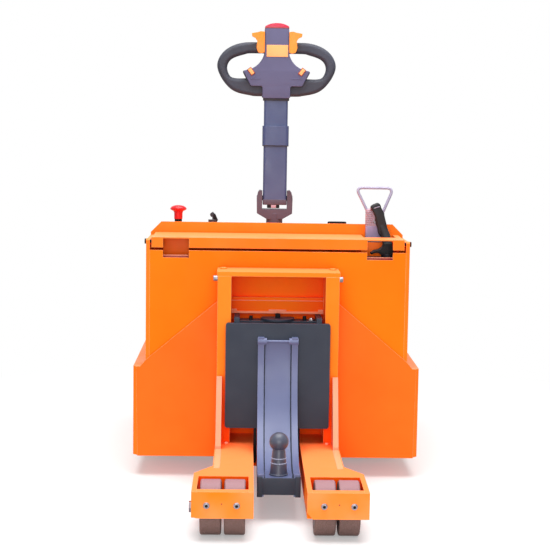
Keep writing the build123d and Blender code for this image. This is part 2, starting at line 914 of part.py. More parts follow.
def tiller_sleeve():
    """Moulded collar part-way up the arm."""
    outer_x = tiller_half_width + sleeve_wall
    outer_y = tiller_half_depth + sleeve_wall
    sleeve = slab(-outer_x, outer_x, drive_y - outer_y, drive_y + outer_y, sleeve_bottom, sleeve_top)
    sleeve = fillet(sleeve.edges().filter_by(Axis.Z), tiller_edge_r + sleeve_wall)
    hole = slab(
        -tiller_half_width - running_fit,
        tiller_half_width + running_fit,
        drive_y - tiller_half_depth - running_fit,
        drive_y + tiller_half_depth + running_fit,
        sleeve_bottom - 1,
        sleeve_top + 1,
    )
    return sleeve - fillet(hole.edges().filter_by(Axis.Z), tiller_edge_r)


def tiller_head():
    """Moulded control head with hollow shoulders above its two wings."""
    mid_x = (wing_tip_half + neck_half) / 2 - shoulder_sag
    mid_z = (wing_tip_z + neck_z) / 2 - shoulder_sag
    right = Polyline(
        (0, head_bottom),
        (stem_half_width, head_bottom),
        (stem_half_width, wing_foot_z),
        (wing_foot_half, wing_foot_z),
        (wing_tip_half, wing_tip_z),
    )
    shoulder = ThreePointArc((wing_tip_half, wing_tip_z), (mid_x, mid_z), (neck_half, neck_z))
    top = Polyline((neck_half, neck_z), (neck_half, head_top), (0, head_top), (0, head_bottom))
    half = make_face(right + shoulder + top)
    plane = Plane.XZ.offset(-drive_y + head_half_depth)
    right_half = extrude(plane * half, amount=2 * head_half_depth, dir=(0, 1, 0))
    return right_half + other_side(right_half)


def tube_along(points, bend_r, radius):
    """A round bar along straight runs joined by arcs."""
    path = FilletPolyline(*points, radius=bend_r)
    start = Vector(*points[0])
    heading = Vector(*points[1]) - start
    section = Plane(origin=start, z_dir=heading) * Circle(radius)
    return sweep(section, path=path)


def tiller_grip(head):
    """Right hand loop of the head: a round upper bar that widens into the thick lower bar."""
    outer = [
        (63, 1219),
        (97, 1218),
        (133, 1209),
        (165, 1188),
        (184, 1147),
        (176, 1118),
        (160, 1093),
        (142, 1075),
        (115, 1062),
        (79, 1055),
        (45, 1053),
    ]
    inner = [
        (90, 1108),
        (128, 1108),
        (141, 1112),
        (149, 1123),
        (153, 1141),
        (148, 1157),
        (131, 1171),
        (97, 1182),
        (63, 1185),
    ]
    top = Polyline(inner[-1], (neck_half - 12, inner[-1][1]), (neck_half - 12, outer[0][1]), outer[0])
    foot = Polyline(outer[-1], (stem_half_width - 12, outer[-1][1]), (stem_half_width - 12, inner[0][1]), inner[0])
    outer_edge = Spline(*outer, tangents=[(1, 0), (-1, 0)])
    inner_edge = Spline(*inner, tangents=[(1, 0), (-1, 0)])
    outline = make_face(outer_edge + foot + inner_edge + top)
    plane = Plane.XZ.offset(-drive_y + grip_half_depth)
    loop = extrude(plane * outline, amount=2 * grip_half_depth, dir=(0, 1, 0))
    rims = loop.faces().sort_by(Axis.Y)[0].edges() + loop.faces().sort_by(Axis.Y)[-1].edges()
    return fillet(rims, grip_edge_r) - head


def throttle():
    """Right thumb paddle on the side of the head."""
    inner = neck_half + seat_gap
    outline = [
        (inner, 1187),
        (inner + 10, 1184),
        (inner + 20, 1187),
        (inner + 25, 1200),
        (inner + 23, 1222),
        (inner + 29, 1231),
        (inner + 39, 1236),
        (inner + 40, 1245),
        (inner + 22, 1248),
        (inner + 12, 1251),
        (inner, 1250),
    ]
    y0 = drive_y - throttle_set - throttle_depth
    return facing(outline, y0, y0 + throttle_depth)


def head_button():
    """Wide safety button on the end of the head."""
    button = slab(
        -button_half_width,
        button_half_width,
        drive_y - button_half_depth,
        drive_y + button_half_depth,
        head_top,
        head_top + button_height,
    )
    button = fillet(button.edges().filter_by(Axis.Z), head_edge_r)
    return fillet(button.faces().sort_by(Axis.Z)[-1].edges(), button_crown_r)


def emergency_stop():
    """Mushroom button on its collar."""
    plane = on_hood(stop_x, front_y + stop_y)
    collar = extrude(plane * Circle(stop_collar_r), amount=stop_collar)
    stem = extrude(plane * Circle(stop_stem_r), amount=stop_height)
    cap = extrude(plane.offset(stop_height - stop_cap) * Circle(stop_cap_r), amount=stop_cap)
    return collar + stem + fillet(cap.edges(), 4)


def key_switch():
    """Key switch with the key in it."""
    plane = on_hood(key_x, front_y + stop_y)
    barrel = extrude(plane * Circle(key_barrel_r), amount=key_barrel)
    blade = Rectangle(2 * key_blade_half, 2 * key_blade_half_thickness)
    return barrel + extrude(plane * blade, amount=key_barrel + key_blade)


def charge_gauge():
    """Round battery gauge."""
    gauge = extrude(on_hood(gauge_x, front_y + stop_y) * Circle(gauge_r), amount=gauge_height)
    return gauge


def power_plug():
    """Battery connector against the bulkhead, with the boot where its cable leaves."""
    back = bulkhead_y
    body = slab(plug_left, plug_right, back - plug_depth, back, plug_bottom, plug_top)
    boot = slab(boot_left, boot_right, front_y + boot_front, front_y + boot_back, boot_bottom, boot_top)
    return body + boot


def plug_handle():
    """Wire pull handle on top of the connector."""
    y = front_y + handle_set_back
    points = [
        (257, y, plug_top),
        (257, y, 739),
        (218, y, 790),
        (327, y, 790),
        (292, y, 739),
        (292, y, plug_top),
    ]
    loop = tube_along(points, handle_bends, handle_wire_r)
    return loop - slab(boot_left, boot_right, y - 30, y + 30, boot_bottom, boot_top)


def cable_points():
    """Route of the battery cable from the boot down to the gland on the battery."""
    return [
        (286, front_y + 128, boot_bottom),
        (286, front_y + 128, 700),
        (303, front_y + 117, 661),
        (308, front_y + 104, 634),
        (308, front_y + 104, battery_top + gland_height),
    ]


def bend_radii(points):
    """Arc at each corner of a cord's route, as large as its two runs allow."""
    radii = []
    for before, here, after in zip(points, points[1:], points[2:]):
        first = Vector(*here) - Vector(*before)
        second = Vector(*after) - Vector(*here)
        half_turn = math.radians(first.get_angle(second)) / 2
        radii.append(0.45 * min(first.length, second.length) / math.tan(half_turn))
    return radii


def battery_cable():
    """Battery cable as a plain tube."""
    points = cable_points()
    radii = bend_radii(points)
    print("battery cable radii", [round(r) for r in radii])
    return tube_along(points, radii, cable_r)


def cable_gland():
    """Gland where the cable enters the battery."""
    end = cable_points()[-1]
    return rod_z(gland_r, end[0], end[1], battery_top, battery_top + gland_height)


def mast_beam():
    """Top beam across both posts."""
    half = post_outer + beam_overhang
    return slab(-half, half, mast_front_y, front_y, beam_bottom, beam_bottom + beam_thickness)


def mast_crossmember():
    """Strip between the posts behind the carriage."""
    top = crossmember_bottom + crossmember_height
    return slab(-post_inner, post_inner, front_y - crossmember_depth, front_y, crossmember_bottom, top)


def main():
    save("leg_right", leg())
    save("leg_left", other_side(leg()))
    save("wheel_guards", group(wheel_guard(guard_rise_right, 0.0), other_side(wheel_guard(0.0, guard_rise_left))))
    save("load_axles", group(load_axle(0.0), other_side(load_axle(load_axle_head))))
    tyres = group(*[load_tyre(x0) for x0 in load_wheel_starts()])
    save("load_tyres_right", tyres)
    save("load_tyres_left", group(other_side(tyres)))
    save("load_hubs_right", load_hubs())
    save("load_hubs_left", other_side(load_hubs()))
    save("base_crossmember", base_crossmember())
    save("mast_posts", pair(mast_post()))
    save("mast_gussets", pair(mast_gusset()))
    save("mast_beam", mast_beam())
    save("mast_crossmember", mast_crossmember())
    save("carriage_plate", carriage_plate())
    save("carriage_cheeks", pair(carriage_cheek()))
    save("guide_rollers", pair(guide_rollers()))
    save("lift_crosshead", lift_crosshead())
    save("lift_rod", lift_rod())
    save("lift_barrel", lift_barrel())
    save("hitch_arm", hitch_arm())
    save("tow_ball", tow_ball())
    save("front_panel", front_panel())
    save("side_panels", pair(side_panel()))
    save("battery_tub", battery_tub())
    save("battery", battery())
    save("battery_lid", battery_lid())
    save("lid_pins", pair(lid_pin()))
    save("wing_plates", pair(wing_plate()))
    save("fenders", pair(fender()))
    save("hood", hood())
    save("rear_cover", rear_cover())
    save("chassis_cheeks", pair(chassis_cheek()))
    save("drive_bridge", drive_bridge())
    save("drive_fork", drive_fork())
    save("drive_motor", drive_motor())
    save("drive_hub", drive_hub())
    save("drive_tyre", drive_tyre())
    save("steer_column", steer_column())
    save("tiller_arm", tiller_arm())
    save("tiller_sleeve", tiller_sleeve())
    head = tiller_head()
    save("tiller_head", head)
    save("tiller_grips", pair(tiller_grip(head)))
    save("tiller_throttles", pair(throttle()))
    save("tiller_button", head_button())
    save("emergency_stop", emergency_stop())
    save("key_switch", key_switch())
    save("charge_gauge", charge_gauge())
    save("power_plug", power_plug())
    save("plug_handle", plug_handle())
    save("battery_cable", battery_cable())
    save("cable_gland", cable_gland())


main()
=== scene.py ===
import json
import logging
from cmath import phase, rect
from dataclasses import dataclass, replace
from enum import Enum
from math import cos, radians, sin, tan
from typing import ClassVar

import bmesh
import bpy
from mathutils import Matrix, Vector


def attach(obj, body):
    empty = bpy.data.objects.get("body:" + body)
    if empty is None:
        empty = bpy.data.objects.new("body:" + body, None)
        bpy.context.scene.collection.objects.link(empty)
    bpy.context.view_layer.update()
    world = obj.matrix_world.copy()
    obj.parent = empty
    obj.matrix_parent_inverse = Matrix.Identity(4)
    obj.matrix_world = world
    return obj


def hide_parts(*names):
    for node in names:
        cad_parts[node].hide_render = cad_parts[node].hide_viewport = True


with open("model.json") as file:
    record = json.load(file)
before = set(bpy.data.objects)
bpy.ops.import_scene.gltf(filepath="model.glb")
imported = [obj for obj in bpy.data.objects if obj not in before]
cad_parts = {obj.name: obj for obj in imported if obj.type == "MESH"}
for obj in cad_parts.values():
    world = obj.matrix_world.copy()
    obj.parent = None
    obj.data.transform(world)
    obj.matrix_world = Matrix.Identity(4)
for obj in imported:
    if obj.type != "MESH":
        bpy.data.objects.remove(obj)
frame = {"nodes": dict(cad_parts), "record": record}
LOG = logging.getLogger("tow_tug")

Span = tuple[float, float]
Size = tuple[float, float, float]
Outline = tuple[Span, ...]
Colour = tuple[int, int, int]

SIDES: tuple[tuple[float, str], ...] = ((-1.0, "left"), (1.0, "right"))
TOWARDS_CAMERA = Vector((0.0, -1.0, 0.0))
UP = Vector((0.0, 0.0, 1.0))

# What all the finishes share: height of the bump in metres, changes of roughness and shares of a colour.
BUMP_HEIGHT = 0.001
SMEAR_POLISH = 0.06
SMEAR_DULLING = 0.08
DUST_SHARE = 0.45
LEAST_EDGE_SHARE = 0.5

# Rays with which a finish looks for edges and corners, and the readings where a mask starts and is full.
EDGE_RAYS = 6
EDGE_READINGS: Span = (0.995, 0.86)
CORNER_RAYS = 6
CORNER_READINGS: Span = (0.60, 0.22)
UPWARD_READINGS: Span = (0.35, 0.95)

# Facets and steps of round stretches.
SMOOTH_BELOW = radians(35.0)
EDGE_STEPS = 3
OUTLINE_STEPS = 4
CORNER_STEPS = 6
BEND_STEPS = 10
WIRE_STEPS = 5
ROUND_SIDES = 40
BOLT_SIDES = 36
HEXAGON = 6

# Usual radius of a small piece's edges and of a block's, in metres.
FINE_EDGE = 0.0004
BLOCK_EDGE = 0.001

# A socket bolt's chamfer and socket, as shares of its head's height and radius.
CHAMFER_HEIGHT = 0.12
CHAMFER_TOP = 0.92
SOCKET_WALL = 0.38
SOCKET_DEPTH = 0.6


class Coat(Enum):
    """How a surface is made up."""

    PAINT = "paint"
    PLASTIC = "plastic"
    METAL = "metal"
    RUBBER = "rubber"


class Body(Enum):
    """The moving bodies that carry added pieces."""

    CHASSIS = "chassis"
    CARRIAGE = "carriage"
    TILLER = "tiller"


@dataclass(frozen=True)
class Pattern:
    """A cloudy pattern of a finish.

    Attributes:
        grain: Grains per metre.
        readings: Noise where the pattern starts and where it is full.
        detail: Octaves of the noise.
    """

    grain: float
    readings: Span
    detail: float = 3.0


BLOTCHES = Pattern(7.0, (0.35, 0.7))
EDGE_PATCHES = Pattern(40.0, (0.3, 0.6))
SMEARS = Pattern(18.0, (0.3, 0.7), 5.0)
DUST = Pattern(900.0, (0.42, 0.72), 4.0)


class NodeSheet:
    """One material's node tree, with short ways to add and join nodes."""

    def __init__(self, name: str) -> None:
        """Starts an empty material.

        Args:
            name: Name of the material.
        """
        self.material: bpy.types.Material = bpy.data.materials.new(name)
        self.material.use_nodes = True
        self.tree: bpy.types.NodeTree = self.material.node_tree
        self.shader: bpy.types.Node = self.tree.nodes["Principled BSDF"]
        self.coordinates: bpy.types.NodeSocket = self.add("ShaderNodeTexCoord").outputs["Object"]

    def add(self, kind: str, **settings: object) -> bpy.types.Node:
        """Adds a node.

        Args:
            kind: Blender's name of the node's class.
            settings: Properties to set on it.

        Returns:
            The new node.
        """
        node = self.tree.nodes.new(kind)
        for key, value in settings.items():
            setattr(node, key, value)
        return node

    def join(self, source: bpy.types.NodeSocket, target: bpy.types.NodeSocket) -> None:
        """Links an output to an input."""
        self.tree.links.new(source, target)

    def noise(self, scale: float, detail: float = 3.0) -> bpy.types.NodeSocket:
        """Adds a noise texture on the object's own coordinates.

        Args:
            scale: Grains per metre.
            detail: Octaves of the noise.

        Returns:
            The noise's grey output.
        """
        texture = self.add("ShaderNodeTexNoise")
        texture.inputs["Scale"].default_value = scale
        texture.inputs["Detail"].default_value = detail
        self.join(self.coordinates, texture.inputs["Vector"])
        return texture.outputs["Fac"]

    def ranged(self, source: bpy.types.NodeSocket, old: Span, new: Span = (0.0, 1.0)) -> bpy.types.NodeSocket:
        """Maps one range of values to another, clamped.

        Args:
            source: Value to map.
            old: Start and end of its range.
            new: Results at that start and end.

        Returns:
            The mapped value.
        """
        node = self.add("ShaderNodeMapRange")
        for name, value in zip(("From Min", "From Max", "To Min", "To Max"), (*old, *new)):
            node.inputs[name].default_value = value
        self.join(source, node.inputs["Value"])
        return node.outputs["Result"]

    def cloudy(self, pattern: Pattern, new: Span = (0.0, 1.0)) -> bpy.types.NodeSocket:
        """Adds a cloudy pattern.

        Args:
            pattern: The pattern.
            new: Results where it starts and where it is full.

        Returns:
            The pattern's value.
        """
        return self.ranged(self.noise(pattern.grain, pattern.detail), pattern.readings, new)

    def mixed(self, factor: bpy.types.NodeSocket, first: object, second: object) -> bpy.types.NodeSocket:
        """Blends two colours.

        Args:
            factor: How much of the second colour shows.
            first: A colour, or a socket that gives one.
            second: The other colour or socket.

        Returns:
            The blended colour.
        """
        node = self.add("ShaderNodeMix", data_type="RGBA")
        self.join(factor, node.inputs[0])
        for socket, colour in ((node.inputs[6], first), (node.inputs[7], second)):
            if isinstance(colour, bpy.types.NodeSocket):
                self.join(colour, socket)
            else:
                socket.default_value = (*colour, 1.0)
        return node.outputs[2]

    def edges(self, radius: float) -> tuple[bpy.types.NodeSocket, bpy.types.NodeSocket]:
        """Rounds the look of sharp edges.

        Args:
            radius: Radius of the rounding, in metres.

        Returns:
            The rounded normal, and a mask that is 1 on the edges.
        """
        bevel = self.add("ShaderNodeBevel", samples=EDGE_RAYS)
        bevel.inputs["Radius"].default_value = radius
        geometry = self.add("ShaderNodeNewGeometry")
        dot = self.add("ShaderNodeVectorMath", operation="DOT_PRODUCT")
        self.join(bevel.outputs["Normal"], dot.inputs[0])
        self.join(geometry.outputs["Normal"], dot.inputs[1])
        return bevel.outputs["Normal"], self.ranged(dot.outputs["Value"], EDGE_READINGS)


def linear(red: int, green: int, blue: int) -> Size:
    """Turns a display colour into scene values.

    Args:
        red: Red from 0 to 255.
        green: Green from 0 to 255.
        blue: Blue from 0 to 255.

    Returns:
        The colour in linear values.
    """
    def channel(value: int) -> float:
        """Undoes the display curve for one channel."""
        level = value / 255.0
        return level / 12.92 if level <= 0.04045 else ((level + 0.055) / 1.055) ** 2.4

    return channel(red), channel(green), channel(blue)


@dataclass(frozen=True)
class Finish:
    """The look of one surface.

    Attributes:
        name: Name of the material.
        coat: Kind of surface.
        colour: Main colour, as display values.
        second: Colour of the soft blotches.
        edge: Paler colour on sharp edges, partly worn paint and partly a painted highlight.
        rough: Roughness of the surface.
        grain: Grains per metre of the fine bump.
        grain_depth: Strength of the fine bump.
        edge_radius: Radius that sharp edges seem to have, in metres.
        edge_share: How much of the edge colour shows.
        specular: Strength of the reflection.
        deep: Colour in corners that the light hardly reaches, if it differs.
        deep_reach: How far a corner's colour reaches, in metres.
        top_light_and_dust: Paler colour on the faces that look up, if it differs: painted light from above on
            the paint, dust on the tyres.
    """

    name: str
    coat: Coat
    colour: Colour
    second: Colour
    edge: Colour
    rough: float = 0.4
    grain: float = 700.0
    grain_depth: float = 0.05
    edge_radius: float = 0.0015
    edge_share: float = 0.5
    specular: float = 0.35
    deep: Colour | None = None
    deep_reach: float = 0.12
    top_light_and_dust: Colour | None = None

    def build(self) -> bpy.types.Material:
        """Makes the material.

        Returns:
            A procedural material on the object's own coordinates.
        """
        sheet = NodeSheet(self.name)
        colour = sheet.mixed(sheet.cloudy(BLOTCHES), linear(*self.colour), linear(*self.second))
        # Faces that look up turn paler: painted light from above on the paint, dust on the tyres.
        if self.top_light_and_dust is not None:
            colour = sheet.mixed(self.facing_up(sheet), colour, linear(*self.top_light_and_dust))
        if self.deep is not None:
            colour = self.shade_corners(sheet, colour)
        # Sharp edges turn paler: partly worn paint, partly a painted highlight that the edges catch.
        normal, mask = sheet.edges(self.edge_radius)
        worn_and_lit = sheet.add("ShaderNodeMath", operation="MULTIPLY")
        sheet.join(mask, worn_and_lit.inputs[0])
        patches = sheet.cloudy(EDGE_PATCHES, (self.edge_share * LEAST_EDGE_SHARE, self.edge_share))
        sheet.join(patches, worn_and_lit.inputs[1])
        colour = sheet.mixed(worn_and_lit.outputs["Value"], colour, linear(*self.edge))
        if self.coat is Coat.RUBBER:
            colour = sheet.mixed(sheet.cloudy(DUST, (0.0, DUST_SHARE)), colour, linear(*self.edge))
        sheet.join(colour, sheet.shader.inputs["Base Color"])
        roughness = sheet.cloudy(SMEARS, (self.rough - SMEAR_POLISH, self.rough + SMEAR_DULLING))
        sheet.join(roughness, sheet.shader.inputs["Roughness"])
        bump = sheet.add("ShaderNodeBump")
        bump.inputs["Strength"].default_value = self.grain_depth
        bump.inputs["Distance"].default_value = BUMP_HEIGHT
        sheet.join(sheet.noise(self.grain), bump.inputs["Height"])
        sheet.join(normal, bump.inputs["Normal"])
        sheet.join(bump.outputs["Normal"], sheet.shader.inputs["Normal"])
        sheet.shader.inputs["Metallic"].default_value = 1.0 if self.coat is Coat.METAL else 0.0
        sheet.shader.inputs["Specular IOR Level"].default_value = self.specular
        return sheet.material

    def facing_up(self, sheet: NodeSheet) -> bpy.types.NodeSocket:
        """Finds the parts that lie upward, where a paler colour is painted: light from above on the paint,
        dust on the tyres.

        Args:
            sheet: Node tree of the material.

        Returns:
            A mask that is 1 on the parts that face up.
        """
        place = sheet.add("ShaderNodeTexCoord")
        parts = sheet.add("ShaderNodeSeparateXYZ")
        sheet.join(place.outputs["Normal"], parts.inputs["Vector"])
        return sheet.ranged(parts.outputs["Z"], UPWARD_READINGS)

    def shade_corners(self, sheet: NodeSheet, colour: bpy.types.NodeSocket) -> bpy.types.NodeSocket:
        """Deepens the colour where neighbouring walls shut out the light.

        Args:
            sheet: Node tree of the material.
            colour: Colour so far.

        Returns:
            The colour with its corners deepened.
        """
        nearness = sheet.add("ShaderNodeAmbientOcclusion", samples=CORNER_RAYS)
        nearness.inputs["Distance"].default_value = self.deep_reach
        hidden = sheet.ranged(nearness.outputs["AO"], CORNER_READINGS)
        return sheet.mixed(hidden, colour, linear(*self.deep))


# The orange's paler upper colour is painted light from above on the faces that look up.
ORANGE = Finish("orange_paint", Coat.PAINT, (253, 121, 14), (251, 115, 10), (255, 196, 140), rough=0.42,
                grain=900.0, grain_depth=0.03, edge_share=0.8, specular=0.12, top_light_and_dust=(255, 138, 76))
RECESS = replace(ORANGE, name="recess_orange", specular=0.04, deep=(255, 62, 2))
FINISHES: tuple[Finish, ...] = (
    ORANGE,
    RECESS,
    # Lit and shaded copies of the one orange paint: a darker, shaded copy on the wing plates and window
    # backs, a brighter, lit copy on the posts and beam, and a copy with paler, lit blotches on the wheel
    # guards.
    replace(ORANGE, name="shaded_wing_orange", colour=(253, 109, 18), second=(252, 103, 12)),
    replace(RECESS, name="lit_post_orange", colour=(254, 134, 38), second=(253, 126, 28)),
    replace(ORANGE, name="lit_guard_orange", colour=(254, 126, 14), second=(255, 148, 84)),
    # Peach that stands in for the orange paint in strong light: a painted highlight on the gussets, and on
    # the lines, bands, shelf, stops, lips and bolt heads that catch the light.
    replace(ORANGE, name="painted_highlight_orange", colour=(252, 154, 122), second=(250, 148, 114),
            edge=(255, 214, 190), top_light_and_dust=(255, 158, 114)),
    Finish("shaft_paint", Coat.PAINT, (70, 80, 118), (63, 73, 110), (138, 146, 188), rough=0.42,
           grain=900.0, grain_depth=0.05),
    Finish("handle_paint", Coat.PAINT, (176, 168, 190), (160, 152, 176), (212, 206, 222), rough=0.35),
    Finish("ring_light", Coat.PAINT, (176, 184, 212), (168, 176, 204), (214, 220, 240), rough=0.35),
    Finish("blue_grey_paint", Coat.PAINT, (94, 102, 139), (85, 93, 130), (158, 166, 204), rough=0.45,
           grain=1400.0, grain_depth=0.12, edge_share=0.7, specular=0.5),
    Finish("slate_paint", Coat.PAINT, (37, 44, 59), (32, 38, 52), (100, 108, 132), rough=0.5, grain=1500.0,
           grain_depth=0.14, edge_share=0.6),
    Finish("black_paint", Coat.PAINT, (30, 27, 29), (24, 22, 25), (86, 80, 82), rough=0.6, specular=0.08),
    Finish("battery_case", Coat.PLASTIC, (52, 56, 62), (46, 50, 56), (90, 94, 100), rough=0.55),
    Finish("dark_plastic", Coat.PLASTIC, (46, 44, 52), (40, 38, 46), (92, 90, 104), rough=0.5,
           grain=2200.0, grain_depth=0.2),
    Finish("connector_plastic", Coat.PLASTIC, (184, 152, 164), (172, 142, 158), (196, 176, 190),
           rough=0.55, grain=1800.0, grain_depth=0.15),
    Finish("collar_plastic", Coat.PLASTIC, (156, 136, 168), (146, 128, 160), (200, 184, 210), rough=0.5),
    Finish("cable_rubber", Coat.PLASTIC, (24, 22, 25), (20, 18, 22), (60, 58, 62), rough=0.6),
    Finish("red_plastic", Coat.PLASTIC, (205, 22, 30), (196, 16, 26), (240, 90, 90), rough=0.3,
           grain_depth=0.02),
    Finish("crimson_plastic", Coat.PLASTIC, (196, 44, 72), (188, 38, 66), (230, 120, 135), rough=0.32,
           grain_depth=0.02),
    Finish("amber_plastic", Coat.PLASTIC, (250, 142, 14), (244, 128, 8), (255, 196, 100), rough=0.35,
           grain_depth=0.03, deep=(228, 92, 6), deep_reach=0.03),
    Finish("brown_tyre", Coat.RUBBER, (100, 76, 66), (84, 64, 56), (176, 134, 138), rough=0.62,
           grain=1500.0, grain_depth=0.5, edge_radius=0.003, edge_share=0.3, top_light_and_dust=(150, 112, 118)),
    Finish("cast_hub", Coat.METAL, (128, 126, 128), (112, 110, 113), (180, 178, 180), rough=0.55,
           grain=600.0, grain_depth=0.3),
    Finish("zinc_steel", Coat.METAL, (150, 146, 152), (132, 128, 138), (215, 212, 220), rough=0.36,
           grain=1200.0, grain_depth=0.06),
    Finish("chrome_rod", Coat.METAL, (205, 206, 210), (198, 199, 204), (235, 235, 238), rough=0.14,
           grain=2000.0, grain_depth=0.01),
    Finish("head_shell", Coat.PLASTIC, (90, 88, 120), (84, 81, 112), (150, 146, 188), rough=0.5,
           grain=2400.0, grain_depth=0.25, edge_share=0.6, deep=(74, 72, 98), deep_reach=0.04),
    Finish("grip_rubber", Coat.PLASTIC, (60, 62, 76), (52, 53, 63), (104, 106, 124), rough=0.55,
           grain=1800.0, grain_depth=0.3, deep=(44, 38, 42), deep_reach=0.03),
    Finish("yoke_iron", Coat.PAINT, (84, 72, 88), (70, 58, 70), (140, 128, 150), rough=0.5, grain=900.0,
           grain_depth=0.25),
    Finish("ball_steel", Coat.PAINT, (62, 68, 86), (54, 57, 74), (150, 156, 180), rough=0.38, grain=1600.0,
           grain_depth=0.08, specular=0.6),
    Finish("label_film", Coat.PLASTIC, (255, 172, 104), (253, 166, 98), (255, 210, 170), rough=0.4),
    Finish("label_rim", Coat.PLASTIC, (150, 44, 34), (140, 38, 30), (190, 90, 80), rough=0.45),
)
OWN_FINISH: dict[str, str] = {
    "tiller_head": "head_shell",
    "tiller_grips": "grip_rubber",
    "steer_column": "yoke_iron",
    "tow_ball": "ball_steel",
    "key_switch": "dark_plastic",
    "wing_plates": "shaded_wing_orange",
    "tiller_arm": "shaft_paint",
    "tiller_sleeve": "shaft_paint",
    "front_panel": "recess_orange",
    "mast_crossmember": "recess_orange",
    "base_crossmember": "recess_orange",
    "battery_tub": "recess_orange",
    "leg_left": "recess_orange",
    "leg_right": "recess_orange",
    "mast_posts": "lit_post_orange",
    "mast_beam": "lit_post_orange",
    "wheel_guards": "lit_guard_orange",
    "mast_gussets": "painted_highlight_orange",
    "plug_handle": "handle_paint",
}


class Paintshop:
    """Makes each finish once and puts it on pieces and CAD nodes."""

    def __init__(self) -> None:
        """Builds all the finishes."""
        self.materials: dict[str, bpy.types.Material] = {finish.name: finish.build() for finish in FINISHES}

    def paint(self, piece: bpy.types.Object, finish: str) -> None:
        """Gives a piece one finish.

        Args:
            piece: The piece.
            finish: Name of its finish.
        """
        piece.data.materials.clear()
        piece.data.materials.append(self.materials[finish])

    def dress_nodes(self) -> None:
        """Gives every CAD node its own finish, or the one of its slot in the record."""
        for entry in frame["record"]["subparts"]:
            name = entry["node"]
            self.paint(frame["nodes"][name], OWN_FINISH.get(name, entry["material_slot"]))


def start_piece(name: str) -> bpy.types.Object:
    """Names the primitive that was just added and opens it for editing.

    Args:
        name: Name of the piece.

    Returns:
        The piece, in edit mode with everything selected.
    """
    piece = bpy.context.object
    piece.name = name
    bpy.ops.object.transform_apply(location=True, rotation=True, scale=True)
    bpy.ops.object.mode_set(mode="EDIT")
    bpy.ops.mesh.select_all(action="SELECT")
    return piece


def end_piece(piece: bpy.types.Object, rounding: float = 0.0, steps: int = EDGE_STEPS) -> bpy.types.Object:
    """Closes a piece: outward normals, rounded edges and smooth shading.

    Args:
        piece: The piece, in edit mode.
        rounding: Radius of its edges, in metres.
        steps: Segments of that rounding.

    Returns:
        The finished piece.
    """
    bpy.ops.mesh.select_all(action="SELECT")
    bpy.ops.mesh.normals_make_consistent(inside=False)
    bpy.ops.object.mode_set(mode="OBJECT")
    if rounding > 0.0:
        bevel = piece.modifiers.new("edges", "BEVEL")
        bevel.width = rounding
        bevel.segments = steps
        bevel.limit_method = "ANGLE"
        bpy.ops.object.modifier_apply(modifier=bevel.name)
    bpy.ops.object.shade_smooth_by_angle(angle=SMOOTH_BELOW)
    return piece


def place_piece(piece: bpy.types.Object, place: Vector, towards: Vector) -> None:
    """Turns a piece's own Z to a direction and moves it there, in its mesh.

    Args:
        piece: The piece, modelled round the origin.
        place: Where its origin goes.
        towards: Where its Z goes.
    """
    piece.matrix_world = Matrix.Translation(place) @ towards.to_track_quat("Z", "Y").to_matrix().to_4x4()
    bpy.ops.object.transform_apply(location=True, rotation=True, scale=True)


def turned(name: str, profile: Outline, place: Vector, towards: Vector,
           sides: int = ROUND_SIDES, rounding: float = FINE_EDGE) -> bpy.types.Object:
    """Makes a round piece by drawing a disc out ring by ring.

    Args:
        name: Name of the piece.
        profile: Radius and height of each ring, from the foot up, in metres.
        place: Where the foot's centre goes.
        towards: Direction of its axis.
        sides: Facets round the axis.
        rounding: Radius of its edges, in metres.

    Returns:
        The finished piece.
    """
    bpy.ops.object.select_all(action="DESELECT")
    radius, height = profile[0]
    foot = (0.0, 0.0, height)
    bpy.ops.mesh.primitive_circle_add(vertices=sides, radius=radius, fill_type="NGON", location=foot)
    piece = start_piece(name)
    for next_radius, next_height in profile[1:]:
        bpy.ops.mesh.extrude_region_move(TRANSFORM_OT_translate={"value": (0.0, 0.0, next_height - height)})
        share = next_radius / radius
        bpy.ops.transform.resize(value=(share, share, 1.0), center_override=(0.0, 0.0, next_height))
        radius, height = next_radius, next_height
    end_piece(piece, rounding)
    place_piece(piece, place, towards)
    return piece


def slab(name: str, across: Span, along: Span, up: Span, rounding: float = BLOCK_EDGE) -> bpy.types.Object:
    """Makes a block with rounded edges.

    Args:
        name: Name of the piece.
        across: Its left and right side, in metres.
        along: Its front and rear.
        up: Its foot and top.
        rounding: Radius of its edges.

    Returns:
        The finished piece.
    """
    bpy.ops.object.select_all(action="DESELECT")
    middle = [(low + high) / 2 for low, high in (across, along, up)]
    size = [high - low for low, high in (across, along, up)]
    bpy.ops.mesh.primitive_cube_add(size=1.0, location=middle, scale=size)
    return end_piece(start_piece(name), rounding)


def cut_out(name: str, outline: Outline, along: Span, edge: float) -> bpy.types.Object:
    """Draws an outline that faces the camera and gives it depth.

    Args:
        name: Name of the piece.
        outline: Corners as (x, z), in order.
        along: Its front and rear, in metres.
        edge: Radius of its edges.

    Returns:
        The finished piece.
    """
    bpy.ops.object.select_all(action="DESELECT")
    bpy.ops.mesh.primitive_circle_add(vertices=len(outline), fill_type="NGON")
    piece = start_piece(name)
    front, rear = along
    mesh = bmesh.from_edit_mesh(piece.data)
    mesh.verts.ensure_lookup_table()
    for vertex, (x, z) in zip(mesh.verts, outline):
        vertex.co = (x, front, z)
    bmesh.update_edit_mesh(piece.data)
    bpy.ops.mesh.extrude_region_move(TRANSFORM_OT_translate={"value": (0.0, rear - front, 0.0)})
    return end_piece(piece, edge, OUTLINE_STEPS)


